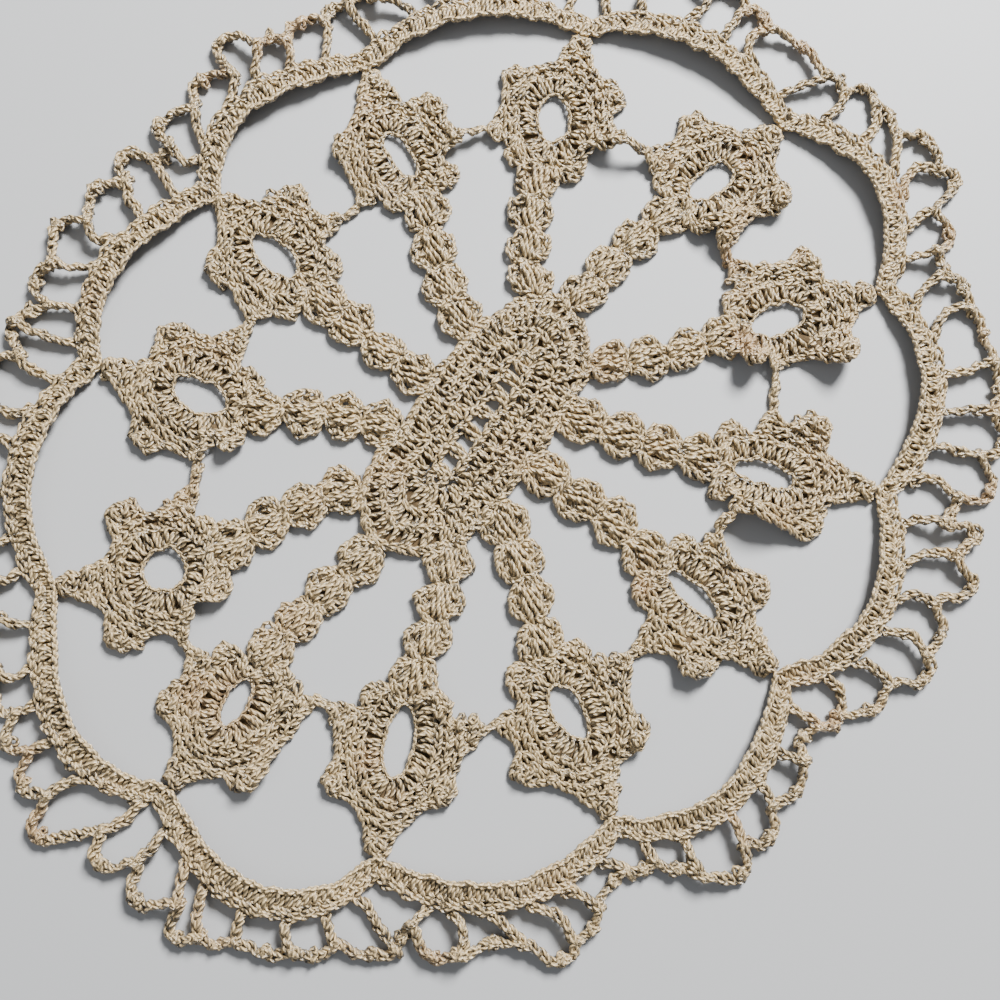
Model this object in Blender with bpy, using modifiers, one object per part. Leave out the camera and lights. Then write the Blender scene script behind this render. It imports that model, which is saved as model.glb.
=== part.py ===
"""Oval crochet lace doily: a laddered centre, twelve scalloped spokes, twelve stars,
an arched rim and a looped edging, laid flat.

Run with: blender --background --python part.py
The long axis lies along +X, and the origin is under the middle of the lace, on the table.
Plan tables are in millimetres. All objects are in metres.
"""
from collections import namedtuple
from math import cos, pi, radians, sin

import bmesh
import bpy
import numpy as np

MM = 0.001

# Driving dimensions, in millimetres
PLAN_MIDDLE = (-2.89, 0.06)   # middle of the outline in the plan tables
LAYER = 2.0                   # one layer of stitches
CENTRE_LAYER = 2.4            # the centre is worked a little tighter and thicker
SEAM_GAP = 0.38               # clearance where two pieces meet
LINK_GAP = 0.54               # clearance in the middle of a link, where the lace can stand up
SEAM_WIDTH = 5.2              # width of the seam at either end of a spoke
CHAIN_WIDTH = 2.3             # a single crochet chain
VALLEY_RADIUS = 14.9          # from a star's middle to the notches between its points
SHOULDER_RADIUS = 15.0        # from a star's middle to the rounded shoulders at its spoke
SHOULDER_SHARES = (0.40, 0.66)  # where a shoulder's two corners lie from spoke to arm
EYE_RING = 0.55               # share of the way from eye to edge of a star's middle ring
POINT_WIDTH = 5.2             # across a star's free point, short of its end
POINT_END = 2.6               # across the blunt end of that point
POINT_ROUND = 1.1             # length over which a free point is rounded
ARM_WIDTH = 5.0               # across a point that is joined to its neighbour or the rim
ARM_TAPER = 1.4               # length over which an arm narrows to its chain
SHORTEST_CHAIN = 0.6          # the bare chain in a link is no shorter than this
TIP_WIDTH = 3.4               # across the tip that meets the rim
TIP_LENGTH = 2.6
RIM_WIDTH = 6.7               # rim band at the crown of an arch
RIM_WIDTH_AT_JOINT = 4.9
RIM_LIFT = 3.0                # the inner edge of the rim stands this far off the table
RIM_SLOPE = 0.45              # share of that height lost across the band
JOINT_BLEND = 0.14            # share of an arch over which the band turns square to a joint
FOOT_GAP = 1.22               # clearance under the rim's edge at the foot of an edging leg
SPOKE_PINCH = 4.6             # spoke width between two clusters
SPOKE_LAYER = 2.6             # the clusters are plump along their middles
SPOKE_EDGE = 0.72             # share of that thickness at a spoke's edges
SPOKE_WAIST = 0.80            # share of that thickness at a pinch
SEAM_BLEND = 0.12             # share of a spoke over which its rows turn from the seam
LOBE_POWER = 0.6              # fullness of a cluster's lobes
END_SWELL = 0.30              # the outermost lobes keep clear of the centre and the star
CLUSTERS = 4                  # shell clusters along a spoke
LUMP_WIDTH = 3.0              # the chain is knobbier at the crown of an edging loop
CROWN_DROP = 0.4              # height of a loop's crown to that of its knot
EDGING_LIFT = 1.65            # mean height of the edging's knots
EDGING_WAVES = ((1.9, 0.50), (0.83, 0.41))  # its two waves: turn from knot to knot, share
CENTRE_BULGE = 0.06           # rise of the centre's edge between two spokes, to its chord
LADDER_WINDOW = (3.7, 4.7)    # opening between two ladder rungs, across its flats
WINDOW_CORNERS = 8
LADDER_SLOPE = 8.5            # degrees from the long axis

# Steps along each piece
RIM_STEPS = 10
CLUSTER_STEPS = 5
LEG_STEPS = 3
LOOP_STEPS = 2
LOOP_PITCH = 2.9
CROWN_SPREAD = 0.2

Star = namedtuple("Star", "x y eye_x eye_y eye_long eye_wide eye_turn root_x root_y"
                          " after_x after_y before_x before_y")
STARS = (
    # middle       eye: place, half lengths, turn    spoke seam     free point after, before
    Star(37.5, 68.5, 36.5, 66.5, 6.9, 3.1, 76, 33.5, 55.5, 54.5, 70.5, 26.0, 81.0),
    Star(74.5, 46.5, 71.7, 45.3, 6.6, 4.4, 42, 60.5, 38.5, 90.3, 37.3, 73.5, 63.7),
    Star(91.5, 4.5, 88.5, 4.4, 7.2, 3.9, -6, 78.0, 5.8, 98.0, -12.8, 98.5, 21.3),
    Star(77.0, -35.5, 73.0, -33.0, 7.4, 4.2, -24, 64.0, -27.8, 79.5, -53.8, 93.2, -26.8),
    Star(45.0, -60.5, 41.0, -57.3, 8.0, 3.3, -61, 36.0, -46.8, 38.5, -77.5, 63.0, -59.0),
    Star(6.0, -67.5, 6.0, -64.3, 8.3, 3.1, 90, 5.8, -54.0, -9.0, -79.0, 20.3, -77.5),
    Star(-38.0, -65.5, -36.3, -62.0, 7.6, 3.8, 74, -31.2, -48.8, -57.0, -64.0, -28.0, -80.5),
    Star(-73.5, -40.5, -69.5, -37.0, 9.0, 3.6, 32, -60.3, -30.5, -89.5, -31.5, -71.5, -55.8),
    Star(-93.0, -3.5, -89.5, -2.0, 6.4, 3.1, 16, -80.5, 1.0, -103.0, 11.2, -99.0, -20.0),
    Star(-81.5, 33.5, -79.6, 33.0, 5.4, 5.2, 0, -68.5, 26.3, -76.5, 53.3, -101.0, 28.5),
    Star(-45.5, 60.5, -43.3, 58.0, 7.2, 4.1, 108, -38.8, 46.8, -35.5, 76.7, -63.0, 60.0),
    Star(-4.5, 71.0, -5.0, 70.5, 7.4, 3.8, 90, -5.0, 57.5, 12.0, 79.5, -20.0, 79.7),
)

Link = namedtuple("Link", "x y chain")
LINKS = (
    # where star n is joined to the next star, and how much of each arm is bare chain
    Link(54.5, 57.3, 3.0),
    Link(80.0, 24.6, 2.4),
    Link(76.2, -12.4, 1.2),
    Link(59.0, -45.2, 5.0),
    Link(24.5, -58.0, 3.0),
    Link(-15.0, -63.7, 0.8),
    Link(-52.0, -50.5, 0.8),
    Link(-75.8, -16.8, 1.2),
    Link(-88.6, 16.0, 0.8),
    Link(-57.5, 44.4, 2.6),
    Link(-22.6, 62.2, 0.8),
    Link(16.5, 65.0, 2.6),
)

Spoke = namedtuple("Spoke", "x y bend width")
SPOKES = (
    # seam on the centre, sideways bow of the spoke, width over a cluster
    Spoke(14.8, 20.6, 2.0, 12.2),
    Spoke(33.4, 16.6, 2.0, 12.0),
    Spoke(38.3, 7.5, 1.2, 11.8),
    Spoke(30.8, -5.9, -1.9, 11.6),
    Spoke(17.0, -9.8, -1.8, 12.4),
    Spoke(1.6, -12.6, 0.8, 12.8),
    Spoke(-11.4, -14.0, 0.9, 12.8),
    Spoke(-26.5, -13.2, 1.2, 12.4),
    Spoke(-39.3, 0.3, -0.4, 11.6),
    Spoke(-31.6, 13.2, -2.4, 12.4),
    Spoke(-14.4, 16.2, -2.0, 12.4),
    Spoke(-1.2, 19.0, 0.8, 12.0),
)

Arch = namedtuple("Arch", "x y rise skew")
ARCHES = (
    # joint with star n; crown height and skew of the arch from there to the next joint
    Arch(47.3, 88.3, 8.6, -0.01),
    Arch(94.0, 55.5, 8.8, 0.03),
    Arch(112.2, 1.5, 12.8, 0.01),
    Arch(96.8, -46.0, 11.0, 0.07),
    Arch(57.5, -80.5, 11.1, -0.05),
    Arch(6.0, -92.0, 11.6, -0.09),
    Arch(-47.0, -86.0, 10.1, 0.04),
    Arch(-92.3, -51.5, 14.0, 0.13),
    Arch(-114.0, -4.5, 11.3, 0.18),
    Arch(-99.8, 48.5, 10.0, 0.02),
    Arch(-55.0, 80.3, 8.8, 0.17),
    Arch(-4.0, 91.3, 10.2, 0.21),
)

Leg = namedtuple("Leg", "arch place knot_x knot_y bow crown_x crown_y")
LEGS = (
    # arch and place of the foot; knot at the head; bow of the leg; crown of the next loop
    Leg(1, 0.10, 56, 104.8, 0.3, 60.3, 104.3),
    Leg(1, 0.27, 62, 99.3, -1.6, 69.5, 104),
    Leg(1, 0.43, 77.5, 96, 1.3, 84.5, 98.5),
    Leg(1, 0.59, 89.5, 90.5, -1.2, 97, 89.5),
    Leg(1, 0.76, 100, 80, 1.4, 105.5, 77),
    Leg(1, 0.91, 104.6, 70, -1.2, 109.4, 68.4),
    Leg(2, 0.10, 109.4, 61.4, 0.9, 115.6, 60.4),
    Leg(2, 0.24, 117.5, 53.5, 1.4, 124.5, 50),
    Leg(2, 0.42, 126.8, 40, -0.9, 132, 36),
    Leg(2, 0.58, 130, 30, 0.8, 132.3, 26),
    Leg(2, 0.74, 130.5, 21.5, 3.9, 133, 13),
    Leg(2, 0.89, 131.5, 2, -0.6, 133, -1),
    Leg(3, 0.15, 132, -4, -1.1, 136.8, -7.5),
    Leg(3, 0.32, 135.5, -12.3, -1.4, 135.7, -17.6),
    Leg(3, 0.50, 132.8, -22.4, -0.1, 137.3, -28.5),
    Leg(3, 0.61, 133.8, -37, 4.8, 134, -42),
    Leg(3, 0.74, 124.5, -42.8, 0.9, 122, -50),
    Leg(3, 0.86, 115.3, -50.6, 0.4, 114.5, -54),
    Leg(4, 0.13, 112.7, -57, 2.1, 113.7, -62),
    Leg(4, 0.27, 111, -67.5, 3.7, 108.5, -74),
    Leg(4, 0.42, 104, -81, 0.3, 100, -86.5),
    Leg(4, 0.58, 94.5, -89.5, 1, 89.5, -96.3),
    Leg(4, 0.72, 83.5, -94.5, 0.4, 78, -102),
    Leg(4, 0.88, 70.6, -96.8, 2.8, 67, -98.2),
    Leg(5, 0.12, 63.4, -98.8, 0.9, 67, -106),
    Leg(5, 0.28, 59, -106, 1.5, 56, -114),
    Leg(5, 0.42, 47, -109.5, 1.2, 42, -116.3),
    Leg(5, 0.56, 35, -116.5, 2.7, 31, -120),
    Leg(5, 0.73, 24, -115, 1.4, 16, -115.5),
    Leg(5, 0.85, 9.3, -110.5, 2.9, 6.5, -111.3),
    Leg(6, 0.12, 4, -109.3, 0.7, -0.5, -107.5),
    Leg(6, 0.28, -5.3, -110.8, -0.5, -11.5, -114.7),
    Leg(6, 0.43, -18.3, -113, 1.1, -24.5, -117.6),
    Leg(6, 0.58, -29.5, -113, 0.1, -35.5, -117.8),
    Leg(6, 0.76, -41.5, -111, -0.9, -45, -105.8),
    Leg(6, 0.90, -47.3, -101.4, -0.6, -50.4, -100.4),
    Leg(7, 0.12, -53.6, -98, 0.5, -58.2, -97),
    Leg(7, 0.28, -64.2, -98, 1, -69, -100.3),
    Leg(7, 0.41, -73.3, -99, 1.5, -79.3, -100),
    Leg(7, 0.55, -82.5, -91.3, 0.2, -88, -85.5),
    Leg(7, 0.69, -94.3, -81, 1.8, -99, -76.5),
    Leg(7, 0.77, -97.2, -68.2, 0.4, -100.8, -68.7),
    Leg(8, 0.09, -104.2, -69.6, 0.5, -108.8, -67),
    Leg(8, 0.20, -113.2, -59, -0.5, -118, -56.5),
    Leg(8, 0.33, -120.4, -52.6, -0.9, -125, -48),
    Leg(8, 0.47, -127.8, -41, -0.7, -131.6, -38.4),
    Leg(8, 0.64, -132.6, -34.2, -0.9, -136.8, -29.6),
    Leg(8, 0.74, -130.5, -25, 0, -137, -18),
    Leg(8, 0.89, -130.7, -11.8, 0.6, -137, -5.5),
    Leg(9, 0.03, -132.3, -0.5, 0.6, -142.5, 9),
    Leg(9, 0.24, -135, 14.3, -1.1, -137, 20.5),
    Leg(9, 0.41, -130.3, 25, -0, -132.8, 29.5),
    Leg(9, 0.57, -128, 33.7, 0.3, -128.7, 39),
    Leg(9, 0.70, -122.7, 44.5, 2.4, -121.7, 50),
    Leg(9, 0.86, -114.7, 53.7, 0.4, -115, 58.5),
    Leg(10, 0.10, -108.7, 60.2, 0.8, -111, 66),
    Leg(10, 0.23, -104.7, 68.5, 1, -104, 75.5),
    Leg(10, 0.39, -97, 79.8, 0.7, -93.5, 86.8),
    Leg(10, 0.58, -85.8, 87.8, -0.3, -83, 92.6),
    Leg(10, 0.72, -79.7, 91, 1.3, -73.8, 98.6),
    Leg(10, 0.86, -66.8, 96.2, 1.2, -65, 101.2),
    Leg(11, 0.08, -61.6, 102.3, 0.8, -58, 102.8),
    Leg(11, 0.22, -53.6, 100.2, 0, -51.6, 107),
    Leg(11, 0.40, -45.2, 107.3, 1.2, -37.3, 114),
    Leg(11, 0.53, -31.5, 109, 2.9, -24, 114.3),
    Leg(11, 0.67, -18, 110, 0.5, -14, 116.2),
    Leg(11, 0.85, -8.6, 110.6, 0.4, -6, 109),
    Leg(12, 0.11, -3.4, 108.8, 1.2, -1, 115.4),
    Leg(12, 0.19, 8, 112.7, 0.5, 14.5, 116.6),
    Leg(12, 0.35, 21.5, 111.8, -1.1, 25.3, 120.6),
    Leg(12, 0.51, 32, 112.6, 0, 35.2, 112),
    Leg(12, 0.66, 37.7, 109.7, -1.1, 43.5, 110),
    Leg(12, 0.83, 49, 106, -0.3, 51.7, 107.6),
)

Lift = namedtuple("Lift", "x y reach rise")
LIFTS = (
    # places where the lace stands off the table: middle, reach and rise
    Lift(24.0, 80.0, 7.0, 1.6),
    Lift(52.0, 57.0, 8.0, 2.4),
    Lift(78.0, 27.0, 9.0, 4.6),
    Lift(82.0, -6.0, 9.0, 3.6),
    Lift(98.0, -13.0, 7.0, 2.4),
    Lift(60.0, -35.5, 6.6, 5.0),
    Lift(77.0, -53.0, 10.0, 4.8),
    Lift(31.0, -63.0, 11.0, 5.2),
    Lift(-9.0, -77.0, 8.0, 2.4),
    Lift(-28.0, -80.0, 7.0, 1.6),
    Lift(-55.0, -36.0, 7.0, 2.0),
    Lift(-98.0, -20.0, 8.0, 2.2),
    Lift(-80.0, 18.0, 9.0, 2.6),
    Lift(-50.0, 42.0, 7.0, 2.4),
)

LADDER = (
    # middle of each window between two rungs
    (-12.2, 2.6), (-6.4, 2.7), (0.6, 2.9), (6.0, 4.1), (11.3, 5.1), (16.6, 5.7),
)

YARN_COLOUR = (0.46, 0.36, 0.245, 1.0)
YARN_ROUGHNESS = 0.72


# ---------------------------------------------------------------- plan geometry

def unit(vector):
    """The vector at length one."""
    return vector / np.linalg.norm(vector)


def turned(vector):
    """The plan vector turned a quarter counter-clockwise."""
    return np.array((-vector[1], vector[0]))


def smooth(value):
    """Smooth step from 0 to 1."""
    value = min(max(value, 0.0), 1.0)
    return value * value * (3.0 - 2.0 * value)


def lift_at(point):
    """Height of the lace's underside over the table, from the table of lifts."""
    total = 0.0
    for lift in LIFTS:
        distance = np.hypot(point[0] - lift.x, point[1] - lift.y) / lift.reach
        total += lift.rise * max(0.0, 1.0 - distance * distance / 2.0) ** 3
    return total


def joint_of(index):
    """Where star number index meets the rim."""
    arch = ARCHES[index % len(ARCHES)]
    return np.array((arch.x, arch.y))


def outward_at_joint(index):
    """Direction out of the lace at a joint, square to the two joints beside it."""
    along = joint_of(index + 1) - joint_of(index - 1)
    return unit(turned(along))


def arch_edge(index, place):
    """Inner edge of an arch and the direction across the rim there."""
    start = joint_of(index)
    chord = joint_of(index + 1) - start
    along = unit(chord)
    outward = turned(along)
    arch = ARCHES[index]

    def edge(at):
        skewed = at + 2.0 * arch.skew * at * (1.0 - at)
        return start + chord * at + outward * arch.rise * (1.0 - (2.0 * skewed - 1.0) ** 2)

    step = 0.004
    tangent = unit(edge(min(place + step, 1.0)) - edge(max(place - step, 0.0)))
    square = turned(tangent)
    at_joint = outward_at_joint(index if place < 0.5 else index + 1)
    share = smooth(min(place, 1.0 - place) / JOINT_BLEND)
    return edge(place), unit(at_joint + (square - at_joint) * share)


def rim_width(place):
    """Width of the rim band along an arch."""
    return RIM_WIDTH_AT_JOINT + (RIM_WIDTH - RIM_WIDTH_AT_JOINT) * sin(pi * place)


def rim_lift(place, across):
    """Height of the rim over the table: the inner edge stands up along each arch."""
    return RIM_LIFT * sin(pi * place) * (1.0 - RIM_SLOPE * across)


# ---------------------------------------------------------------- building in Blender

def clear_scene():
    """Remove every object and orphan mesh from the file."""
    for item in list(bpy.data.objects):
        bpy.data.objects.remove(item, do_unlink=True)
    for mesh in list(bpy.data.meshes):
        bpy.data.meshes.remove(mesh)


def yarn_material(name):
    """Ecru crochet cotton for one piece."""
    material = bpy.data.materials.new(name)
    material.use_nodes = True
    shader = material.node_tree.nodes["Principled BSDF"]
    shader.inputs["Base Color"].default_value = YARN_COLOUR
    shader.inputs["Roughness"].default_value = YARN_ROUGHNESS
    shader.inputs["Metallic"].default_value = 0.0
    return material


def to_metres(point, height):
    """A plan point in millimetres and its height, in metres about the middle."""
    return ((point[0] - PLAN_MIDDLE[0]) * MM, (point[1] - PLAN_MIDDLE[1]) * MM, height * MM)


def finish_piece(piece, collection):
    """Link a piece and give it a material of its own."""
    piece.data.materials.append(yarn_material(piece.name + "_cotton"))
    collection.objects.link(piece)
    return piece


def sheet_piece(name, points, quads, collection, thickness=LAYER, puff=None):
    """An open loft of quads, thickened upwards. puff is each point's share of thickness."""
    mesh = bpy.data.meshes.new(name)
    mesh.from_pydata(points, [], quads)
    builder = bmesh.new()
    builder.from_mesh(mesh)
    bmesh.ops.recalc_face_normals(builder, faces=builder.faces)
    if sum(face.normal.z for face in builder.faces) < 0.0:
        bmesh.ops.reverse_faces(builder, faces=builder.faces)
    builder.to_mesh(mesh)
    builder.free()
    piece = bpy.data.objects.new(name, mesh)
    solidify = piece.modifiers.new("layer", 'SOLIDIFY')
    solidify.thickness = thickness * MM
    solidify.offset = 1.0
    if puff is not None:
        group = piece.vertex_groups.new(name="puff")
        for index, share in enumerate(puff):
            group.add([index], share, 'REPLACE')
        solidify.vertex_group = "puff"
    return finish_piece(piece, collection)


def flat_piece(name, outlines, thickness, collection):
    """A flat plate from closed outlines: the first is the edge, the others are windows."""
    curve = bpy.data.curves.new(name, 'CURVE')
    curve.dimensions = '2D'
    curve.fill_mode = 'BOTH'
    curve.extrude = thickness * MM / 2.0
    for outline in outlines:
        spline = curve.splines.new('POLY')
        spline.points.add(len(outline) - 1)
        for target, point in zip(spline.points, outline):
            target.co = (*to_metres(point, 0.0), 1.0)
        spline.use_cyclic_u = True
    piece = bpy.data.objects.new(name, curve)
    piece.location.z = thickness * MM / 2.0
    return finish_piece(piece, collection)


# ---------------------------------------------------------------- centre

def centre_seams():
    """Middle of each spoke's seam on the centre and the seam's direction."""
    roots = [np.array((spoke.x, spoke.y)) for spoke in SPOKES]
    count = len(roots)
    return [(roots[k], unit(roots[(k + 1) % count] - roots[k - 1])) for k in range(count)]


def centre_outline():
    """Edge of the centre: a straight seam at each spoke and a shallow curve between."""
    outline = []
    seams = centre_seams()
    for k, (root, along) in enumerate(seams):
        following, following_along = seams[(k + 1) % len(seams)]
        first = root + along * SEAM_WIDTH / 2.0
        last = following - following_along * SEAM_WIDTH / 2.0
        outline += [root - along * SEAM_WIDTH / 2.0, first]
        bulge = CENTRE_BULGE * np.linalg.norm(last - first)
        for share in (0.25, 0.5, 0.75):
            outward = turned(unit(last - first))
            outline.append(first + (last - first) * share
                           + outward * bulge * 4.0 * share * (1.0 - share))
    return outline


def window_outline(middle):
    """Rounded opening between two ladder rungs."""
    wide, tall = LADDER_WINDOW
    slope = radians(LADDER_SLOPE)
    outline = []
    for k in range(WINDOW_CORNERS):
        angle = 2.0 * pi * (k + 0.5) / WINDOW_CORNERS
        x, y = wide / 2.0 * cos(angle), tall / 2.0 * sin(angle)
        outline.append((middle[0] + x * cos(slope) - y * sin(slope),
                        middle[1] + x * sin(slope) + y * cos(slope)))
    return outline


def build_centre(collection):
    """The oval centre with its ladder of windows."""
    outlines = [centre_outline()] + [window_outline(middle) for middle in LADDER]
    return flat_piece("centre", outlines, CENTRE_LAYER, collection)


# ---------------------------------------------------------------- spokes

def build_spoke(index, collection):
    """One spoke: paired shell clusters between the centre and its star."""
    spoke, star = SPOKES[index], STARS[index]
    root, seam = centre_seams()[index]
    outward = turned(seam)
    end = np.array((star.root_x, star.root_y))
    end_seam = star_seam(index)
    run = unit(end - root)
    start = root + outward * SEAM_GAP
    finish = end - turned(end_seam) * SEAM_GAP
    stations = CLUSTERS * CLUSTER_STEPS
    points, puff = [], []
    for step in range(stations + 1):
        share = step / stations
        middle = start + (finish - start) * share
        middle = middle + turned(run) * spoke.bend * 4.0 * share * (1.0 - share)
        across = turned(run)
        near_seam = seam if share < 0.5 else end_seam
        turn = smooth(min(share, 1.0 - share) / SEAM_BLEND)
        across = unit(-near_seam + (across + near_seam) * turn)
        in_cluster = (step % CLUSTER_STEPS) / CLUSTER_STEPS
        swell = sin(pi * in_cluster) ** LOBE_POWER
        swell *= END_SWELL if step in (1, stations - 1) else 1.0
        half = (SPOKE_PINCH + (spoke.width - SPOKE_PINCH) * swell) / 2.0
        for side in (1.0, 0.0, -1.0):
            point = middle + across * half * side
            points.append(to_metres(point, lift_at(point)))
            along_middle = SPOKE_WAIST + (1.0 - SPOKE_WAIST) * swell
            puff.append(along_middle if side == 0.0 else SPOKE_EDGE)
    quads = []
    for step in range(stations):
        for column in range(2):
            corner = step * 3 + column
            quads.append((corner, corner + 1, corner + 4, corner + 3))
    return sheet_piece(f"spoke_{index + 1:02d}", points, quads, collection,
                       thickness=SPOKE_LAYER, puff=puff)


# ---------------------------------------------------------------- stars

def star_seam(index):
    """Direction of the seam where a star meets its spoke, counter-clockwise round it."""
    star = STARS[index]
    outward = np.array((star.root_x - star.x, star.root_y - star.y))
    return turned(unit(outward))


def arm_of(eye, end, along, chain):
    """A joined point of a star: its two shoulders, its neck and the rows of its chain."""
    out = unit(end - eye)
    side = turned(out)
    end = end - out * LINK_GAP / 2.0
    neck = end - out * max(chain, SHORTEST_CHAIN)
    shoulder = neck - out * ARM_TAPER
    half = CHAIN_WIDTH / 2.0
    edge = [shoulder - side * ARM_WIDTH / 2.0, neck - side * half, neck + side * half,
            shoulder + side * ARM_WIDTH / 2.0]
    return edge, 1, [(end - along * half, end + along * half)]


def tip_of(eye, end):
    """The tip that meets the rim."""
    out = unit(end - eye)
    side = turned(out)
    end = end - out * SEAM_GAP
    root = end - out * TIP_LENGTH
    edge = [root - side * ARM_WIDTH / 2.0, root + side * ARM_WIDTH / 2.0]
    return edge, 0, [(end - side * TIP_WIDTH / 2.0, end + side * TIP_WIDTH / 2.0)]


def free_of(eye, end):
    """A free point of a star, blunt and a little rounded."""
    out = unit(end - eye)
    side = turned(out)
    back = end - out * POINT_ROUND
    edge = [back - side * POINT_WIDTH / 2.0, back + side * POINT_WIDTH / 2.0]
    return edge, 0, [(end - side * POINT_END / 2.0, end + side * POINT_END / 2.0)]


def notch_between(middle, before, after, radius):
    """The notch between two points of a star."""
    across = unit(before - middle) + unit(after - middle)
    return [middle + unit(across) * radius], 0, []


def shoulder_of(middle, root, arm, shares):
    """The rounded shoulder between the spoke seam and a joined point."""
    inward, sideways = unit(root - middle), unit(arm - middle)
    edge = [middle + unit(inward + (sideways - inward) * share) * SHOULDER_RADIUS
            for share in shares]
    return edge, 0, []


def link_seam(index):
    """Direction of the seam where star index is joined to the next, and its middle."""
    star, following = STARS[index % len(STARS)], STARS[(index + 1) % len(STARS)]
    link = np.array((LINKS[index % len(LINKS)].x, LINKS[index % len(LINKS)].y))
    toward = unit(link - np.array((star.eye_x, star.eye_y)))
    away = unit(np.array((following.eye_x, following.eye_y)) - link)
    return link, turned(unit(toward + away))


def star_outline(index):
    """Edge of one star, counter-clockwise from its spoke seam, and what is drawn out of it."""
    star = STARS[index]
    middle = np.array((star.x, star.y))
    eye = np.array((star.eye_x, star.eye_y))
    root = np.array((star.root_x, star.root_y))
    seam = star_seam(index)
    after, after_seam = link_seam(index)
    before, before_seam = link_seam(index - 1)
    after_point = np.array((star.after_x, star.after_y))
    before_point = np.array((star.before_x, star.before_y))
    tip = joint_of(index)
    sections = [
        ([root - seam * SEAM_WIDTH / 2.0, root + seam * SEAM_WIDTH / 2.0], 0, []),
        shoulder_of(middle, root, after, SHOULDER_SHARES),
        arm_of(eye, after, after_seam, LINKS[index].chain),
        notch_between(middle, after, after_point, VALLEY_RADIUS),
        free_of(eye, after_point),
        notch_between(middle, after_point, tip, VALLEY_RADIUS),
        tip_of(eye, tip),
        notch_between(middle, tip, before_point, VALLEY_RADIUS),
        free_of(eye, before_point),
        notch_between(middle, before_point, before, VALLEY_RADIUS),
        arm_of(eye, before, -before_seam, LINKS[index - 1].chain),
        shoulder_of(middle, root, before, SHOULDER_SHARES[::-1]),
    ]
    outline, drawn = [], []
    for edge, offset, rows in sections:
        if rows:
            drawn.append((len(outline) + offset, rows))
        outline += edge
    return outline, drawn


def eye_point(star, toward):
    """Point on a star's eye in the direction of an outline point."""
    turn = radians(star.eye_turn)
    dx, dy = toward[0] - star.eye_x, toward[1] - star.eye_y
    along = dx * cos(turn) + dy * sin(turn)
    across = -dx * sin(turn) + dy * cos(turn)
    reach = 1.0 / np.hypot(along / star.eye_long, across / star.eye_wide)
    return np.array((star.eye_x + dx * reach, star.eye_y + dy * reach))


def build_star(index, collection):
    """One five-pointed star round its elongated eye."""
    outline, drawn = star_outline(index)
    count = len(outline)
    points = []

    def add(point):
        points.append(to_metres(point, lift_at(point)))
        return len(points) - 1

    for share in (0.0, EYE_RING, 1.0):
        for edge in outline:
            eye = eye_point(STARS[index], edge)
            add(eye + (edge - eye) * share)
    quads = []
    for ring in range(2):
        for k in range(count):
            following = (k + 1) % count
            quads.append((ring * count + k, ring * count + following,
                          (ring + 1) * count + following, (ring + 1) * count + k))
    for first, rows in drawn:
        low, high = 2 * count + first, 2 * count + first + 1
        for right, left in rows:
            next_low, next_high = add(right), add(left)
            quads.append((low, high, next_high, next_low))
            low, high = next_low, next_high
    return sheet_piece(f"star_{index + 1:02d}", points, quads, collection)


# ---------------------------------------------------------------- rim

def build_rim(collection):
    """The closed band of twelve arches."""
    points = []
    for index in range(len(ARCHES)):
        for step in range(RIM_STEPS):
            place = step / RIM_STEPS
            inner, square = arch_edge(index, place)
            outer = inner + square * rim_width(place)
            points.append(to_metres(inner, rim_lift(place, 0.0)))
            points.append(to_metres(outer, rim_lift(place, 1.0)))
    count = len(points) // 2
    quads = [(2 * k, 2 * k + 1, 2 * ((k + 1) % count) + 1, 2 * ((k + 1) % count))
             for k in range(count)]
    return sheet_piece("rim", points, quads, collection)


# ---------------------------------------------------------------- edging

def leg_foot(leg):
    """Foot of an edging leg, clear of the rim, the way along the rim and the rim's height."""
    inner, square = arch_edge(leg.arch - 1, leg.place)
    foot = inner + square * (rim_width(leg.place) + FOOT_GAP)
    return foot, -turned(square), rim_lift(leg.place, 1.0)


def knot_height(order):
    """Height of the edging at the head of leg number order."""
    return EDGING_LIFT * (1.0 + sum(share * sin(turn * order) for turn, share in EDGING_WAVES))


def through(before, first, last, after, share):
    """Point on the smooth curve from first to last, shaped by the points either side."""
    a = 2.0 * first
    b = last - before
    c = 2.0 * before - 5.0 * first + 4.0 * last - after
    d = 3.0 * first - before - 3.0 * last + after
    return (a + b * share + c * share ** 2 + d * share ** 3) / 2.0


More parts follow.
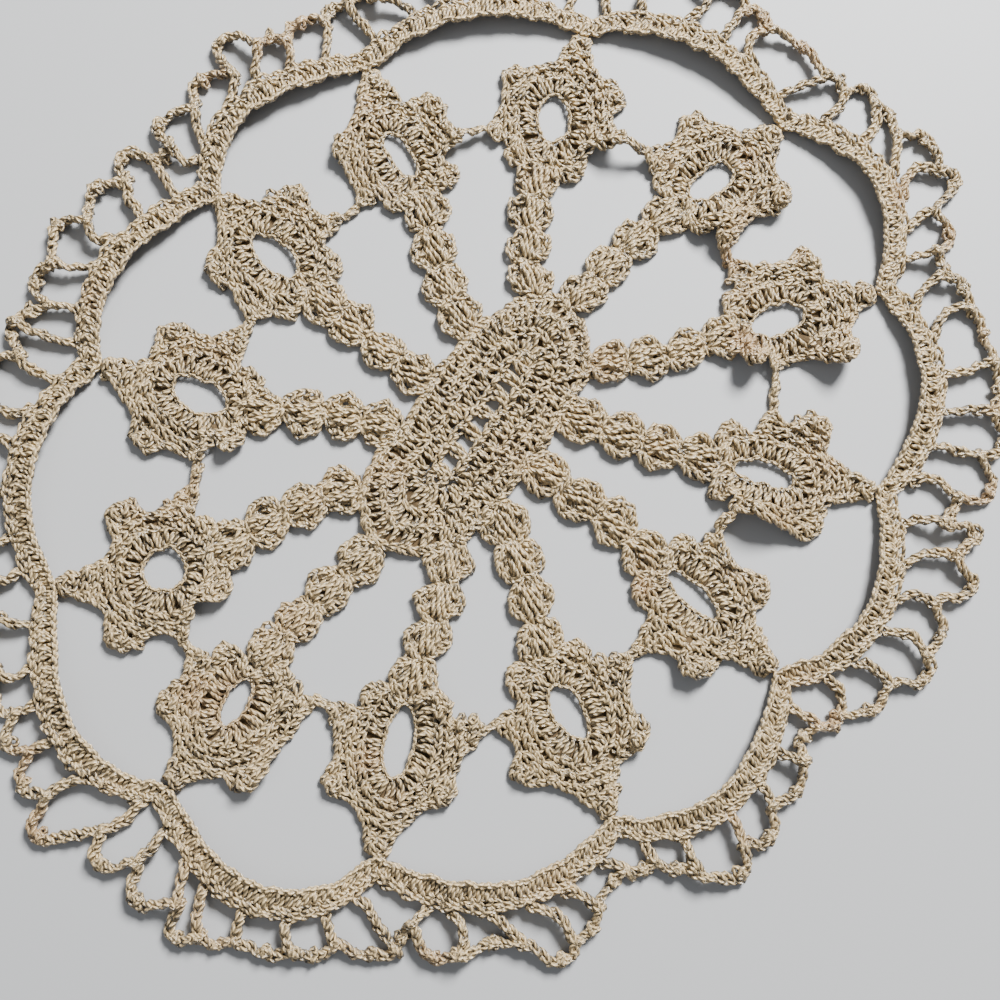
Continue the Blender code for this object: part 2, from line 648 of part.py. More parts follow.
def loop_stations():
    """Middle, outward direction, width and height along the loops, and each leg's station."""
    total = len(LEGS)
    knots = [np.array((leg.knot_x, leg.knot_y)) for leg in LEGS]
    spread = []
    for order, leg in enumerate(LEGS):
        chord = knots[(order + 1) % total] - knots[order]
        half = unit(chord) * min(CROWN_SPREAD * np.linalg.norm(chord), CHAIN_WIDTH)
        crown = np.array((leg.crown_x, leg.crown_y))
        spread.append((crown - half, crown + half))
    stations, heads = [], []
    for order in range(total):
        following = (order + 1) % total
        rising, falling = spread[order]
        low, next_low = knot_height(order), knot_height(following)
        along = unit(unit(rising - knots[order]) + unit(knots[order] - spread[order - 1][1]))
        heads.append(len(stations))
        for shift in (-0.5, 0.5):
            stations.append((knots[order] + along * CHAIN_WIDTH * shift, turned(along),
                             CHAIN_WIDTH, low))
        path = (spread[order - 1][1], knots[order], rising, falling, knots[following],
                spread[following][0])
        heights = (low, low * CROWN_DROP, low * CROWN_DROP, next_low)
        for part in range(3):
            before, first, last, after = path[part:part + 4]
            reach = np.linalg.norm(last - first)
            steps = int(min(max(round(reach / LOOP_PITCH), 1), LOOP_STEPS))
            for step in range(1, steps + (0 if part == 2 else 1)):
                share = step / steps
                point = through(before, first, last, after, share)
                ahead = through(before, first, last, after, share + 0.04)
                behind = through(before, first, last, after, share - 0.04)
                nearness = (share, 1.0, 1.0 - share)[part]
                width = CHAIN_WIDTH + (LUMP_WIDTH - CHAIN_WIDTH) * nearness ** 2
                height = heights[part] + (heights[part + 1] - heights[part]) * share
                stations.append((point, turned(unit(ahead - behind)), width, height))
    return stations, heads


def build_edging(collection):
    """The looped edging: chain loops carried on legs from the rim."""
    stations, heads = loop_stations()
    points, quads = [], []

    def add(point, height):
        points.append(to_metres(point, height))
        return len(points) - 1

    rows = []
    for point, outward, width, height in stations:
        rows.append((add(point - outward * width / 2.0, height),
                     add(point + outward * width / 2.0, height)))
    for k, (inner, outer) in enumerate(rows):
        next_inner, next_outer = rows[(k + 1) % len(rows)]
        quads.append((inner, outer, next_outer, next_inner))
    for order, head in enumerate(heads):
        leg = LEGS[order]
        foot, along, foot_height = leg_foot(leg)
        middle = (stations[head][0] + stations[head + 1][0]) / 2.0
        start = middle - stations[head][1] * CHAIN_WIDTH / 2.0
        run = unit(foot - start)
        top = (rows[head][0], rows[head + 1][0])
        for step in range(1, LEG_STEPS + 1):
            share = step / LEG_STEPS
            point = start + (foot - start) * share
            point = point - turned(run) * leg.bow * 4.0 * share * (1.0 - share)
            side = unit(turned(run) * (1.0 - share) + along * share)
            low = knot_height(order) + (foot_height - knot_height(order)) * share
            row = (add(point - side * CHAIN_WIDTH / 2.0, low),
                   add(point + side * CHAIN_WIDTH / 2.0, low))
            quads.append((top[0], top[1], row[1], row[0]))
            top = row
    return sheet_piece("edging", points, quads, collection)


def main():
    """Build the whole lace."""
    clear_scene()
    collection = bpy.data.collections.new("lace_doily")
    bpy.context.scene.collection.children.link(collection)
    build_centre(collection)
    for index in range(len(STARS)):
        build_spoke(index, collection)
        build_star(index, collection)
    build_rim(collection)
    build_edging(collection)


main()
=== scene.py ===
"""The looks of an oval crochet lace doily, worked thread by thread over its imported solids.

The lace lies on a pale floor with its long axis along +X. Plan tables are in millimetres in
the plan of the lace, as the part's own tables are. All meshes are in metres in the row frame.
"""
import logging
from collections.abc import Callable
from dataclasses import dataclass, field
from enum import Enum
from math import cos, pi, radians, sin
from typing import NamedTuple

import bpy
import numpy as np
from mathutils import Matrix, Vector


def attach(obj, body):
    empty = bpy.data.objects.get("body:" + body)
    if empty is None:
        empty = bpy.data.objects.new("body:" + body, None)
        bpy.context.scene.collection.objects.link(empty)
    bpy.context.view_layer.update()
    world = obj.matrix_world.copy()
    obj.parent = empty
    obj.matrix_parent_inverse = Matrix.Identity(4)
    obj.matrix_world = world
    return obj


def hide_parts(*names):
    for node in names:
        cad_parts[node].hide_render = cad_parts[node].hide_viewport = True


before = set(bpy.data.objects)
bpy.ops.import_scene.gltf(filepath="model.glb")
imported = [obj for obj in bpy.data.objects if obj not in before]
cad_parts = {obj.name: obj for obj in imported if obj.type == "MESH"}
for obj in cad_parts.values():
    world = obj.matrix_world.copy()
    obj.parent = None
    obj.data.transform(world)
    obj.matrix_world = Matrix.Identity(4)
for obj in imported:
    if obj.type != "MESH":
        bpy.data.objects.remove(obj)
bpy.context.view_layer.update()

LOG = logging.getLogger("lace")

MM = 0.001
PLAN_MIDDLE = np.array((-2.89, 0.06))
THREAD_MAP = "thread"
BAKE_MAP = "OFBake"

# Thread and stitches, in millimetres
THREAD = 1.10                 # across one thread
POST_THREAD = 1.14            # across each thread of a stitch's post
POST_LEAD = 8.0               # length of one turn of a post's threads
PLIES = 2                     # threads wound round each other in a post or a cord
SIDES = 6                     # sides of a thread's mesh
END_SHARE = 0.6               # how thick a thread's cut end is, beside the thread
RING_STITCH = 5.2             # height of the tall stitches round a star's eye
RING_PITCH = 2.25             # between two tall stitches, half-way up them
ROW_DEPTH = 2.6               # height of the short stitches in a star's outer rows
SWIRL_PITCH = 2.2             # one loop of a small ring
SWIRL_POINTS = 16             # points round that ring
CHAIN_PITCH = 2.55            # one link of a chain
LOOP_POINTS = 9               # points round one loop of a chain
CORD_STEP = 0.75              # between two points of a cord
GROUND_STEP = 1.2             # between two points of an edge of the under-threads
DENSE_STEP = 0.5              # between two points of a finely measured edge
HEADING_REACH = 0.5           # to each side, over which a path's direction is evened out
ON_FLOOR = 0.02               # least gap between a thread and the floor
CROSS_PAINTED_LIGHT = 0.34             # painted highlight where a thread crosses over another, painted shade where it dips under
TOP_PAINTED_LIGHT = 0.20             # painted highlight on a thread's top and painted shade on its underside, against its middle
TONE_VARIETY = 0.16           # how much one thread's lightness differs from the next one's
LEVEL_REACH = 3               # points to each side, over which a thread's usual height is taken
CROSS_HEIGHT = 0.5            # how far above that height a thread has its full painted highlight, and below it its full painted shade
STAIN_EDGE = 1.3              # where a stain ends, in reaches from its middle
TINY = 1e-9                   # a length or slope that counts as none
NEARLY_ALL = 1.0 - 1e-6       # share of a cord's length that ends just short of its last point
FAR = 99.0                    # further than any edge that a ray can meet

# The shape of a chain loop, as shares of its pitch and its half-width
LOOP_MIDDLE = 0.54            # its middle, along the chain
LOOP_HALF = 0.72              # from there to each end
LOOP_WIDE = 1.38              # its fullest half-width
LOOP_EGG = 0.38               # how much wider it is at its far end
LOOP_FALL = 0.8               # how fast it sinks from its near end


# ---------------------------------------------------------------- tables of the plan

class StarRow(NamedTuple):
    """A star: its middle, its eye, its spoke seam and its two free points."""

    x: float
    y: float
    eye_x: float
    eye_y: float
    eye_long: float
    eye_wide: float
    eye_turn: float
    root_x: float
    root_y: float
    after_x: float
    after_y: float
    before_x: float
    before_y: float


STARS = tuple(StarRow(*row) for row in (
    (37.5, 68.5, 36.5, 66.5, 6.9, 3.1, 76, 33.5, 55.5, 54.5, 70.5, 26.0, 81.0),
    (74.5, 46.5, 71.7, 45.3, 6.6, 4.4, 42, 60.5, 38.5, 90.3, 37.3, 73.5, 63.7),
    (91.5, 4.5, 88.5, 4.4, 7.2, 3.9, -6, 78.0, 5.8, 98.7, -13.9, 98.5, 21.3),
    (77.0, -35.5, 73.0, -33.0, 7.4, 4.2, -24, 64.0, -27.8, 79.5, -53.8, 93.2, -26.8),
    (45.0, -60.5, 41.0, -57.3, 8.0, 3.3, -61, 36.0, -46.8, 38.5, -77.5, 63.0, -59.0),
    (6.0, -67.5, 6.0, -64.3, 8.3, 3.1, 90, 5.8, -54.0, -9.0, -79.0, 20.3, -77.5),
    (-38.0, -65.5, -36.3, -62.0, 7.6, 3.8, 74, -31.2, -48.8, -57.0, -64.0, -28.0, -80.5),
    (-73.5, -40.5, -69.5, -37.0, 9.0, 3.6, 32, -60.3, -30.5, -89.5, -31.5, -71.5, -55.8),
    (-93.0, -3.5, -89.5, -2.0, 6.4, 3.1, 16, -80.5, 1.0, -103.0, 11.2, -102.5, -18.8),
    (-81.5, 33.5, -79.6, 33.0, 5.4, 5.2, 0, -68.5, 26.3, -76.5, 53.3, -101.0, 28.5),
    (-45.5, 60.5, -43.3, 58.0, 7.2, 4.1, 108, -38.8, 46.8, -35.5, 76.7, -63.0, 60.0),
    (-4.5, 71.0, -5.0, 70.5, 7.4, 3.8, 90, -5.0, 57.5, 12.0, 79.5, -20.0, 79.7),
))


class NotchRow(NamedTuple):
    """A star's four notches, as distances from its middle, counter-clockwise from the seam."""

    arm_after: float
    tip_after: float
    tip_before: float
    arm_before: float


NOTCHES = tuple(NotchRow(*row) for row in (
    (14.6, 12.0, 13.9, 14.6), (13.8, 14.0, 12.0, 14.6), (14.6, 15.0, 13.0, 14.2),
    (12.4, 14.6, 12.0, 14.6), (14.6, 13.7, 12.0, 13.0), (14.6, 14.6, 13.0, 12.7),
    (15.2, 14.7, 13.0, 14.6), (15.0, 14.6, 12.7, 13.8), (14.6, 13.7, 14.6, 14.6),
    (14.6, 11.7, 14.6, 14.6), (15.2, 12.0, 14.0, 14.6), (14.6, 13.4, 14.6, 14.6),
))


class LinkRow(NamedTuple):
    """Where a star is joined to the next one, and how much of each arm is bare chain."""

    x: float
    y: float
    chain: float


LINKS = tuple(LinkRow(*row) for row in (
    (54.5, 57.3, 3.0), (80.0, 24.6, 2.4), (76.2, -12.4, 1.2), (59.0, -45.2, 5.0),
    (24.5, -58.0, 3.0), (-15.0, -63.7, 0.8), (-52.0, -50.5, 0.8), (-75.8, -16.8, 1.2),
    (-88.6, 16.0, 0.8), (-57.5, 44.4, 2.6), (-22.6, 62.2, 0.8), (16.5, 65.0, 2.6),
))


class SpokeRow(NamedTuple):
    """A spoke: its seam on the centre, its sideways bow and its width over a cluster."""

    x: float
    y: float
    bend: float
    width: float


SPOKES = tuple(SpokeRow(*row) for row in (
    (14.8, 20.6, 2.0, 12.2), (33.4, 16.6, 2.0, 12.0), (38.3, 7.5, 1.2, 11.8),
    (30.8, -5.9, -1.9, 11.6), (17.0, -9.8, -1.8, 12.4), (1.6, -12.6, 0.8, 12.8),
    (-11.4, -14.0, 0.9, 12.8), (-26.5, -13.2, 1.2, 12.4), (-39.3, 0.3, -0.4, 11.6),
    (-31.6, 13.2, -2.4, 12.4), (-14.4, 16.2, -2.0, 12.4), (-1.2, 19.0, 0.8, 12.0),
))


class ArchRow(NamedTuple):
    """A joint of the rim with a star, and the crown and skew of the arch after it."""

    x: float
    y: float
    rise: float
    skew: float


ARCHES = tuple(ArchRow(*row) for row in (
    (47.3, 88.3, 8.6, -0.01), (94.0, 55.5, 8.8, 0.03), (112.2, 1.5, 12.8, 0.01),
    (96.8, -46.0, 11.0, 0.07), (57.5, -80.5, 11.1, -0.05), (6.0, -92.0, 11.6, -0.09),
    (-47.0, -86.0, 10.1, 0.04), (-92.3, -51.5, 14.0, 0.13), (-114.0, -4.5, 11.3, 0.18),
    (-99.8, 48.5, 10.0, 0.02), (-55.0, 80.3, 8.8, 0.17), (-4.0, 91.3, 10.2, 0.21),
))


class LegRow(NamedTuple):
    """A leg of the edging: arch and place of its foot, its knot, its bow, the next crown."""

    arch: int
    place: float
    knot_x: float
    knot_y: float
    bow: float
    crown_x: float
    crown_y: float


LEGS = tuple(LegRow(*row) for row in (
    (1, 0.10, 56, 104.8, 0.3, 60.3, 104.3), (1, 0.27, 62, 99.3, -1.6, 69.5, 104),
    (1, 0.43, 77.5, 96, 1.3, 84.5, 98.5), (1, 0.59, 89.5, 90.5, -1.2, 97, 89.5),
    (1, 0.76, 100, 80, 1.4, 105.5, 77), (1, 0.91, 104.6, 70, -1.2, 109.4, 68.4),
    (2, 0.10, 109.4, 61.4, 0.9, 115.6, 60.4), (2, 0.24, 117.5, 53.5, 1.4, 124.5, 50),
    (2, 0.42, 126.8, 40, -0.9, 132, 36), (2, 0.58, 130, 30, 0.8, 132.3, 26),
    (2, 0.74, 130.5, 21.5, 3.9, 133, 13), (2, 0.89, 131.5, 2, -0.6, 133, -1),
    (3, 0.15, 132, -4, -1.1, 136.8, -7.5), (3, 0.32, 135.5, -12.3, -1.4, 135.7, -17.6),
    (3, 0.50, 132.8, -22.4, -0.1, 137.3, -28.5), (3, 0.61, 133.8, -37, 4.8, 134, -42),
    (3, 0.74, 124.5, -42.8, 0.9, 122, -50), (3, 0.86, 115.3, -50.6, 0.4, 114.5, -54),
    (4, 0.13, 112.7, -57, 2.1, 113.7, -62), (4, 0.27, 111, -67.5, 3.7, 108.5, -74),
    (4, 0.42, 104, -81, 0.3, 100, -86.5), (4, 0.58, 94.5, -89.5, 1, 89.5, -96.3),
    (4, 0.72, 83.5, -94.5, 0.4, 78, -102), (4, 0.88, 70.6, -96.8, 2.8, 67, -98.2),
    (5, 0.12, 63.4, -98.8, 0.9, 67, -106), (5, 0.28, 59, -106, 1.5, 56, -114),
    (5, 0.42, 47, -109.5, 1.2, 42, -116.3), (5, 0.56, 35, -116.5, 2.7, 31, -120),
    (5, 0.73, 24, -115, 1.4, 16, -115.5), (5, 0.85, 9.3, -110.5, 2.9, 6.5, -111.3),
    (6, 0.12, 4, -109.3, 0.7, -0.5, -107.5), (6, 0.28, -5.3, -110.8, -0.5, -11.5, -114.7),
    (6, 0.43, -18.3, -113, 1.1, -24.5, -117.6), (6, 0.58, -29.5, -113, 0.1, -35.5, -117.8),
    (6, 0.76, -41.5, -111, -0.9, -45, -105.8), (6, 0.90, -47.3, -101.4, -0.6, -50.4, -100.4),
    (7, 0.12, -53.6, -98, 0.5, -58.2, -97), (7, 0.28, -64.2, -98, 1, -69, -100.3),
    (7, 0.41, -73.3, -99, 1.5, -79.3, -100), (7, 0.55, -82.5, -91.3, 0.2, -88, -85.5),
    (7, 0.69, -94.3, -81, 1.8, -99, -76.5), (7, 0.77, -97.2, -68.2, 0.4, -100.8, -68.7),
    (8, 0.09, -104.2, -69.6, 0.5, -108.8, -67), (8, 0.20, -113.2, -59, -0.5, -118, -56.5),
    (8, 0.33, -120.4, -52.6, -0.9, -125, -48), (8, 0.47, -127.8, -41, -0.7, -131.6, -38.4),
    (8, 0.64, -132.6, -34.2, -0.9, -136.8, -29.6), (8, 0.74, -130.5, -25, 0, -137, -18),
    (8, 0.89, -130.7, -11.8, 0.6, -137, -5.5), (9, 0.03, -132.3, -0.5, 0.6, -142.5, 9),
    (9, 0.24, -135, 14.3, -1.1, -137, 20.5), (9, 0.41, -130.3, 25, -0, -132.8, 29.5),
    (9, 0.57, -128, 33.7, 0.3, -128.7, 39), (9, 0.70, -122.7, 44.5, 2.4, -121.7, 50),
    (9, 0.86, -114.7, 53.7, 0.4, -115, 58.5), (10, 0.10, -108.7, 60.2, 0.8, -111, 66),
    (10, 0.23, -104.7, 68.5, 1, -104, 75.5), (10, 0.39, -97, 79.8, 0.7, -93.5, 86.8),
    (10, 0.58, -85.8, 87.8, -0.3, -83, 92.6), (10, 0.72, -79.7, 91, 1.3, -73.8, 98.6),
    (10, 0.86, -66.8, 96.2, 1.2, -65, 101.2), (11, 0.08, -61.6, 102.3, 0.8, -58, 102.8),
    (11, 0.22, -53.6, 100.2, 0, -51.6, 107), (11, 0.40, -45.2, 107.3, 1.2, -37.3, 114),
    (11, 0.53, -31.5, 109, 2.9, -24, 114.3), (11, 0.67, -18, 110, 0.5, -14, 116.2),
    (11, 0.85, -8.6, 110.6, 0.4, -6, 109), (12, 0.11, -3.4, 108.8, 1.2, -1, 115.4),
    (12, 0.19, 8, 112.7, 0.5, 14.5, 116.6), (12, 0.35, 21.5, 111.8, -1.1, 25.3, 120.6),
    (12, 0.51, 32, 112.6, 0, 35.2, 112), (12, 0.66, 37.7, 109.7, -1.1, 43.5, 110),
    (12, 0.83, 49, 106, -0.3, 51.7, 107.6),
))


class LiftRow(NamedTuple):
    """A place where the lace stands off the floor: its middle, reach and rise."""

    x: float
    y: float
    reach: float
    rise: float


LIFTS = tuple(LiftRow(*row) for row in (
    (24.0, 80.0, 7.0, 1.6), (52.0, 57.0, 8.0, 2.4), (78.0, 27.0, 9.0, 4.6), (82.0, -6.0, 9.0, 3.6),
    (98.0, -13.0, 7.0, 2.4), (60.0, -35.5, 6.6, 5.0), (77.0, -53.0, 10.0, 4.8),
    (31.0, -63.0, 11.0, 5.2), (-9.0, -77.0, 8.0, 2.4), (-28.0, -80.0, 7.0, 1.6),
    (-55.0, -36.0, 7.0, 2.0), (-98.0, -20.0, 8.0, 2.2), (-80.0, 18.0, 9.0, 2.6),
    (-50.0, 42.0, 7.0, 2.4),
))


class WaveRow(NamedTuple):
    """A wave of the lace's hand-made unevenness: its turn over the plan and its shifts."""

    turn_x: float
    turn_y: float
    phase: float
    along_x: float
    along_y: float
    up: float


WAVES = tuple(WaveRow(*row) for row in (
    (0.55, 0.31, 0.4, 0.26, 0.08, 0.10), (-0.38, 0.62, 2.1, 0.07, 0.27, 0.10),
    (1.25, -0.90, 1.2, 0.18, 0.12, 0.17), (0.75, 1.35, 3.3, 0.12, 0.18, 0.17),
    (2.05, 0.45, 0.9, 0.08, 0.12, 0.16),
))

# The middles of the centre's ladder windows
LADDER = ((-12.0, 1.8), (-6.0, 2.0), (0.6, 2.9), (6.0, 4.1), (11.3, 5.1), (16.6, 5.7))

# Where the cotton has darkened with age: x, y and reach
STAINS = (
    (33, 108.5, 5), (44, 108.5, 5), (16, 113.5, 5), (129, 26, 6), (132.5, 10, 6),
    (122, -34, 6), (121, -50.5, 6), (107.5, -72, 6), (76, -101, 6), (7, -108.5, 5),
    (-27, -111, 6), (-99, -77.5, 6), (-142, 12, 6), (-133, 23.5, 6),
    (62.1, -30.9, 5), (89.8, -25.5, 4), (76.2, -13.6, 4), (-2.1, -54.4, 4), (-89.8, -1.3, 8),
    (-93.8, 6.4, 6), (-80.1, -45.8, 5), (-77.6, -34.8, 5), (100, 2.2, 4),
)


# ---------------------------------------------------------------- plan geometry

def unit(vectors: np.ndarray) -> np.ndarray:
    """Vectors at length one, along their last axis."""
    length = np.linalg.norm(vectors, axis=-1, keepdims=True)
    return vectors / np.maximum(length, TINY)


def turned(vectors: np.ndarray) -> np.ndarray:
    """Plan vectors turned a quarter counter-clockwise."""
    return np.stack((-vectors[..., 1], vectors[..., 0]), axis=-1)


def smooth(value: np.ndarray | float) -> np.ndarray | float:
    """Smooth step from 0 to 1."""
    value = np.clip(value, 0.0, 1.0)
    return value * value * (3.0 - 2.0 * value)


def rounded(outline: np.ndarray, rounds: int) -> np.ndarray:
    """A closed outline with its corners cut off.

    Args:
        outline: points of the closed outline.
        rounds: how often the corners are cut.

    Returns:
        The rounder outline, with more points.
    """
    for _ in range(rounds):
        ahead = np.roll(outline, -1, axis=0)
        pairs = np.stack((0.75 * outline + 0.25 * ahead, 0.25 * outline + 0.75 * ahead), axis=1)
        outline = pairs.reshape(-1, outline.shape[1])
    return outline


def relief(points: np.ndarray) -> np.ndarray:
    """Height of the lace's underside over the floor at plan points.

    Args:
        points: plan points.

    Returns:
        Their heights, none below 0.
    """
    total = np.zeros(points.shape[:-1])
    for lift in LIFTS:
        distance = np.hypot(points[..., 0] - lift.x, points[..., 1] - lift.y) / lift.reach
        total += lift.rise * np.maximum(0.0, 1.0 - distance ** 2 / 2.0) ** 3
    return total


def uneven(points: np.ndarray) -> np.ndarray:
    """Points with the small shifts of hand work, in the plan and in height.

    Args:
        points: points with their heights.

    Returns:
        The shifted points.
    """
    total = np.zeros(points.shape)
    for wave in WAVES:
        swing = np.sin(wave.turn_x * points[..., 0] + wave.turn_y * points[..., 1] + wave.phase)
        total += swing[..., None] * np.array((wave.along_x, wave.along_y, wave.up))
    return points + total


class Path:
    """A line through plan points, measured along its length. A third column is its height."""

    def __init__(self, points: np.ndarray, closed: bool = False) -> None:
        """Measure the line.

        Args:
            points: plan points in order, with or without a height each.
            closed: whether the last point is joined to the first.
        """
        points = np.asarray(points, float)
        if points.shape[1] == 2:
            points = np.column_stack((points, np.zeros(len(points))))
        if closed:
            points = np.vstack((points, points[:1]))
        steps = np.linalg.norm(np.diff(points[:, :2], axis=0), axis=1)
        self.points = points
        self.closed = closed
        self.marks = np.concatenate(([0.0], np.cumsum(steps)))
        self.length = float(self.marks[-1])

    def at(self, along: np.ndarray) -> np.ndarray:
        """Points on the line at lengths along it."""
        along = np.mod(along, self.length) if self.closed else along
        return np.stack([np.interp(along, self.marks, self.points[:, k]) for k in range(3)], -1)

    def heading(self, along: np.ndarray) -> np.ndarray:
        """Directions of the line at lengths along it, evened out over a short reach.

        Args:
            along: lengths along the line.

        Returns:
            A direction in the plan for each.
        """
        if not self.closed:
            along = np.clip(along, HEADING_REACH, self.length - HEADING_REACH)
        return unit((self.at(along + HEADING_REACH) - self.at(along - HEADING_REACH))[..., :2])

    def beside(self, along: np.ndarray, left: np.ndarray | float) -> np.ndarray:
        """Points beside the line, left of its direction, with the line's height there.

        Args:
            along: lengths along the line.
            left: how far left of it, for each.

        Returns:
            The points, (..., xyz).
        """
        base = self.at(along)
        if not self.closed:
            past = along - np.clip(along, 0.0, self.length)
            base[..., :2] += self.heading(along) * past[..., None]
        base[..., :2] += turned(self.heading(along)) * np.asarray(left)[..., None]
        return base

    def stations(self, pitch: float, shift: float = 0.0) -> np.ndarray:
        """Evenly spaced lengths along the line, about a pitch apart."""
        count = max(int(round(self.length / pitch)), 1)
        return (np.arange(count) + 0.5 + shift) * self.length / count


def reach_to(starts: np.ndarray, headings: np.ndarray, outline: np.ndarray) -> np.ndarray:
    """How far each ray runs before it meets a closed outline.

    Args:
        starts: plan points where the rays begin.
        headings: their directions.
        outline: points of the closed outline.

    Returns:
        One length for each ray.
    """
    run = (np.roll(outline, -1, axis=0) - outline)[None]
    offset = outline[None] - starts[:, None]
    heading = headings[:, None]
    crossing = heading[..., 0] * run[..., 1] - heading[..., 1] * run[..., 0]
    crossing = np.where(np.abs(crossing) < TINY, TINY, crossing)
    ray = (offset[..., 0] * run[..., 1] - offset[..., 1] * run[..., 0]) / crossing
    edge = (offset[..., 0] * heading[..., 1] - offset[..., 1] * heading[..., 0]) / crossing
    hit = (ray > 0.0) & (edge >= 0.0) & (edge <= 1.0)
    return np.where(hit, ray, FAR).min(axis=1)


# ---------------------------------------------------------------- thread

Heights = Callable[[np.ndarray], np.ndarray]     # heights at plan points


class Side(Enum):
    """A side of a line, as a factor on distances to its left."""

    LEFT = 1.0
    RIGHT = -1.0


@dataclass
class Strands:
    """Strands that have the same number of points each."""

    lines: np.ndarray         # (strand, point, xyz), in plan millimetres
    tones: np.ndarray         # (strand,), how light each is, 0 to 1
    closed: bool              # whether each is a closed loop
    width: float              # across one thread


class Loops(NamedTuple):
    """How a row of chain loops is worked."""

    pitch: float              # from one loop to the next
    spread: float             # half the chain's width, from middle to middle of its threads
    low: float                # height of a loop's far end, under the next
    high: float               # height of its near end
    tone: float = 0.6         # mean lightness


class Posts(NamedTuple):
    """How the posts of a row of stitches are worked."""

    rise: tuple[float, float, float]    # height of the axis at the foot, the middle and the head
    points: int                         # points along each thread
    tone: float                         # mean lightness
    turns: float | None = None          # turns of the threads, or None for the usual twist
    bow: float = 0.0                    # sideways bow
    spread: float = 0.54                # from the axis to the middle of a thread


class Cord(NamedTuple):
    """How a twisted cord is worked."""

    spread: float             # from the axis to the middle of a thread
    pitch: float              # length of one turn
    width: float              # across one thread
    tone: float               # mean lightness


class Waver(NamedTuple):
    """How much the hand's work differs from one stitch to the next."""

    lean: float = 0.10        # a loop's length, as a share
    drift: float = 0.10       # its place along the chain
    skew: float = 0.22        # its turn, sideways for each millimetre along
    aside: float = 0.12       # its place across the chain
    loop_height: float = 0.16
    post_height: float = 0.08
    post_phase: float = 0.10  # where a post's twist begins, in turns


WAVER = Waver()


def bowed(share: np.ndarray | float) -> np.ndarray | float:
    """A shallow bow between two ends: 0 at each end, 1 half-way."""
    return 4.0 * share * (1.0 - share)


def twisted(axes: np.ndarray, turns: float, spread: float,
            phase: np.ndarray | float = 0.0) -> np.ndarray:
    """Threads wound round each other along given axes.

    Args:
        axes: axis lines, (stitch, point, xyz).
        turns: whole turns from one end to the other.
        spread: distance of a thread's middle from the axis.
        phase: turn of each stitch's first thread, in turns.

    Returns:
        The threads' middle lines, PLIES times as many as there are axes.
    """
    count, points = axes.shape[:2]
    heading = unit(np.gradient(axes, axis=1))
    side = unit(np.cross(heading, (0.0, 0.0, 1.0)))
    above = np.cross(side, heading)
    share = np.linspace(0.0, 1.0, points)[None, :]
    phases = np.broadcast_to(np.asarray(phase, float), (count,))[:, None]
    threads = []
    for order in range(PLIES):
        angle = 2.0 * pi * (turns * share + phases + order / PLIES)[..., None]
        threads.append(axes + spread * (np.cos(angle) * side + np.sin(angle) * above))
    return np.concatenate(threads)


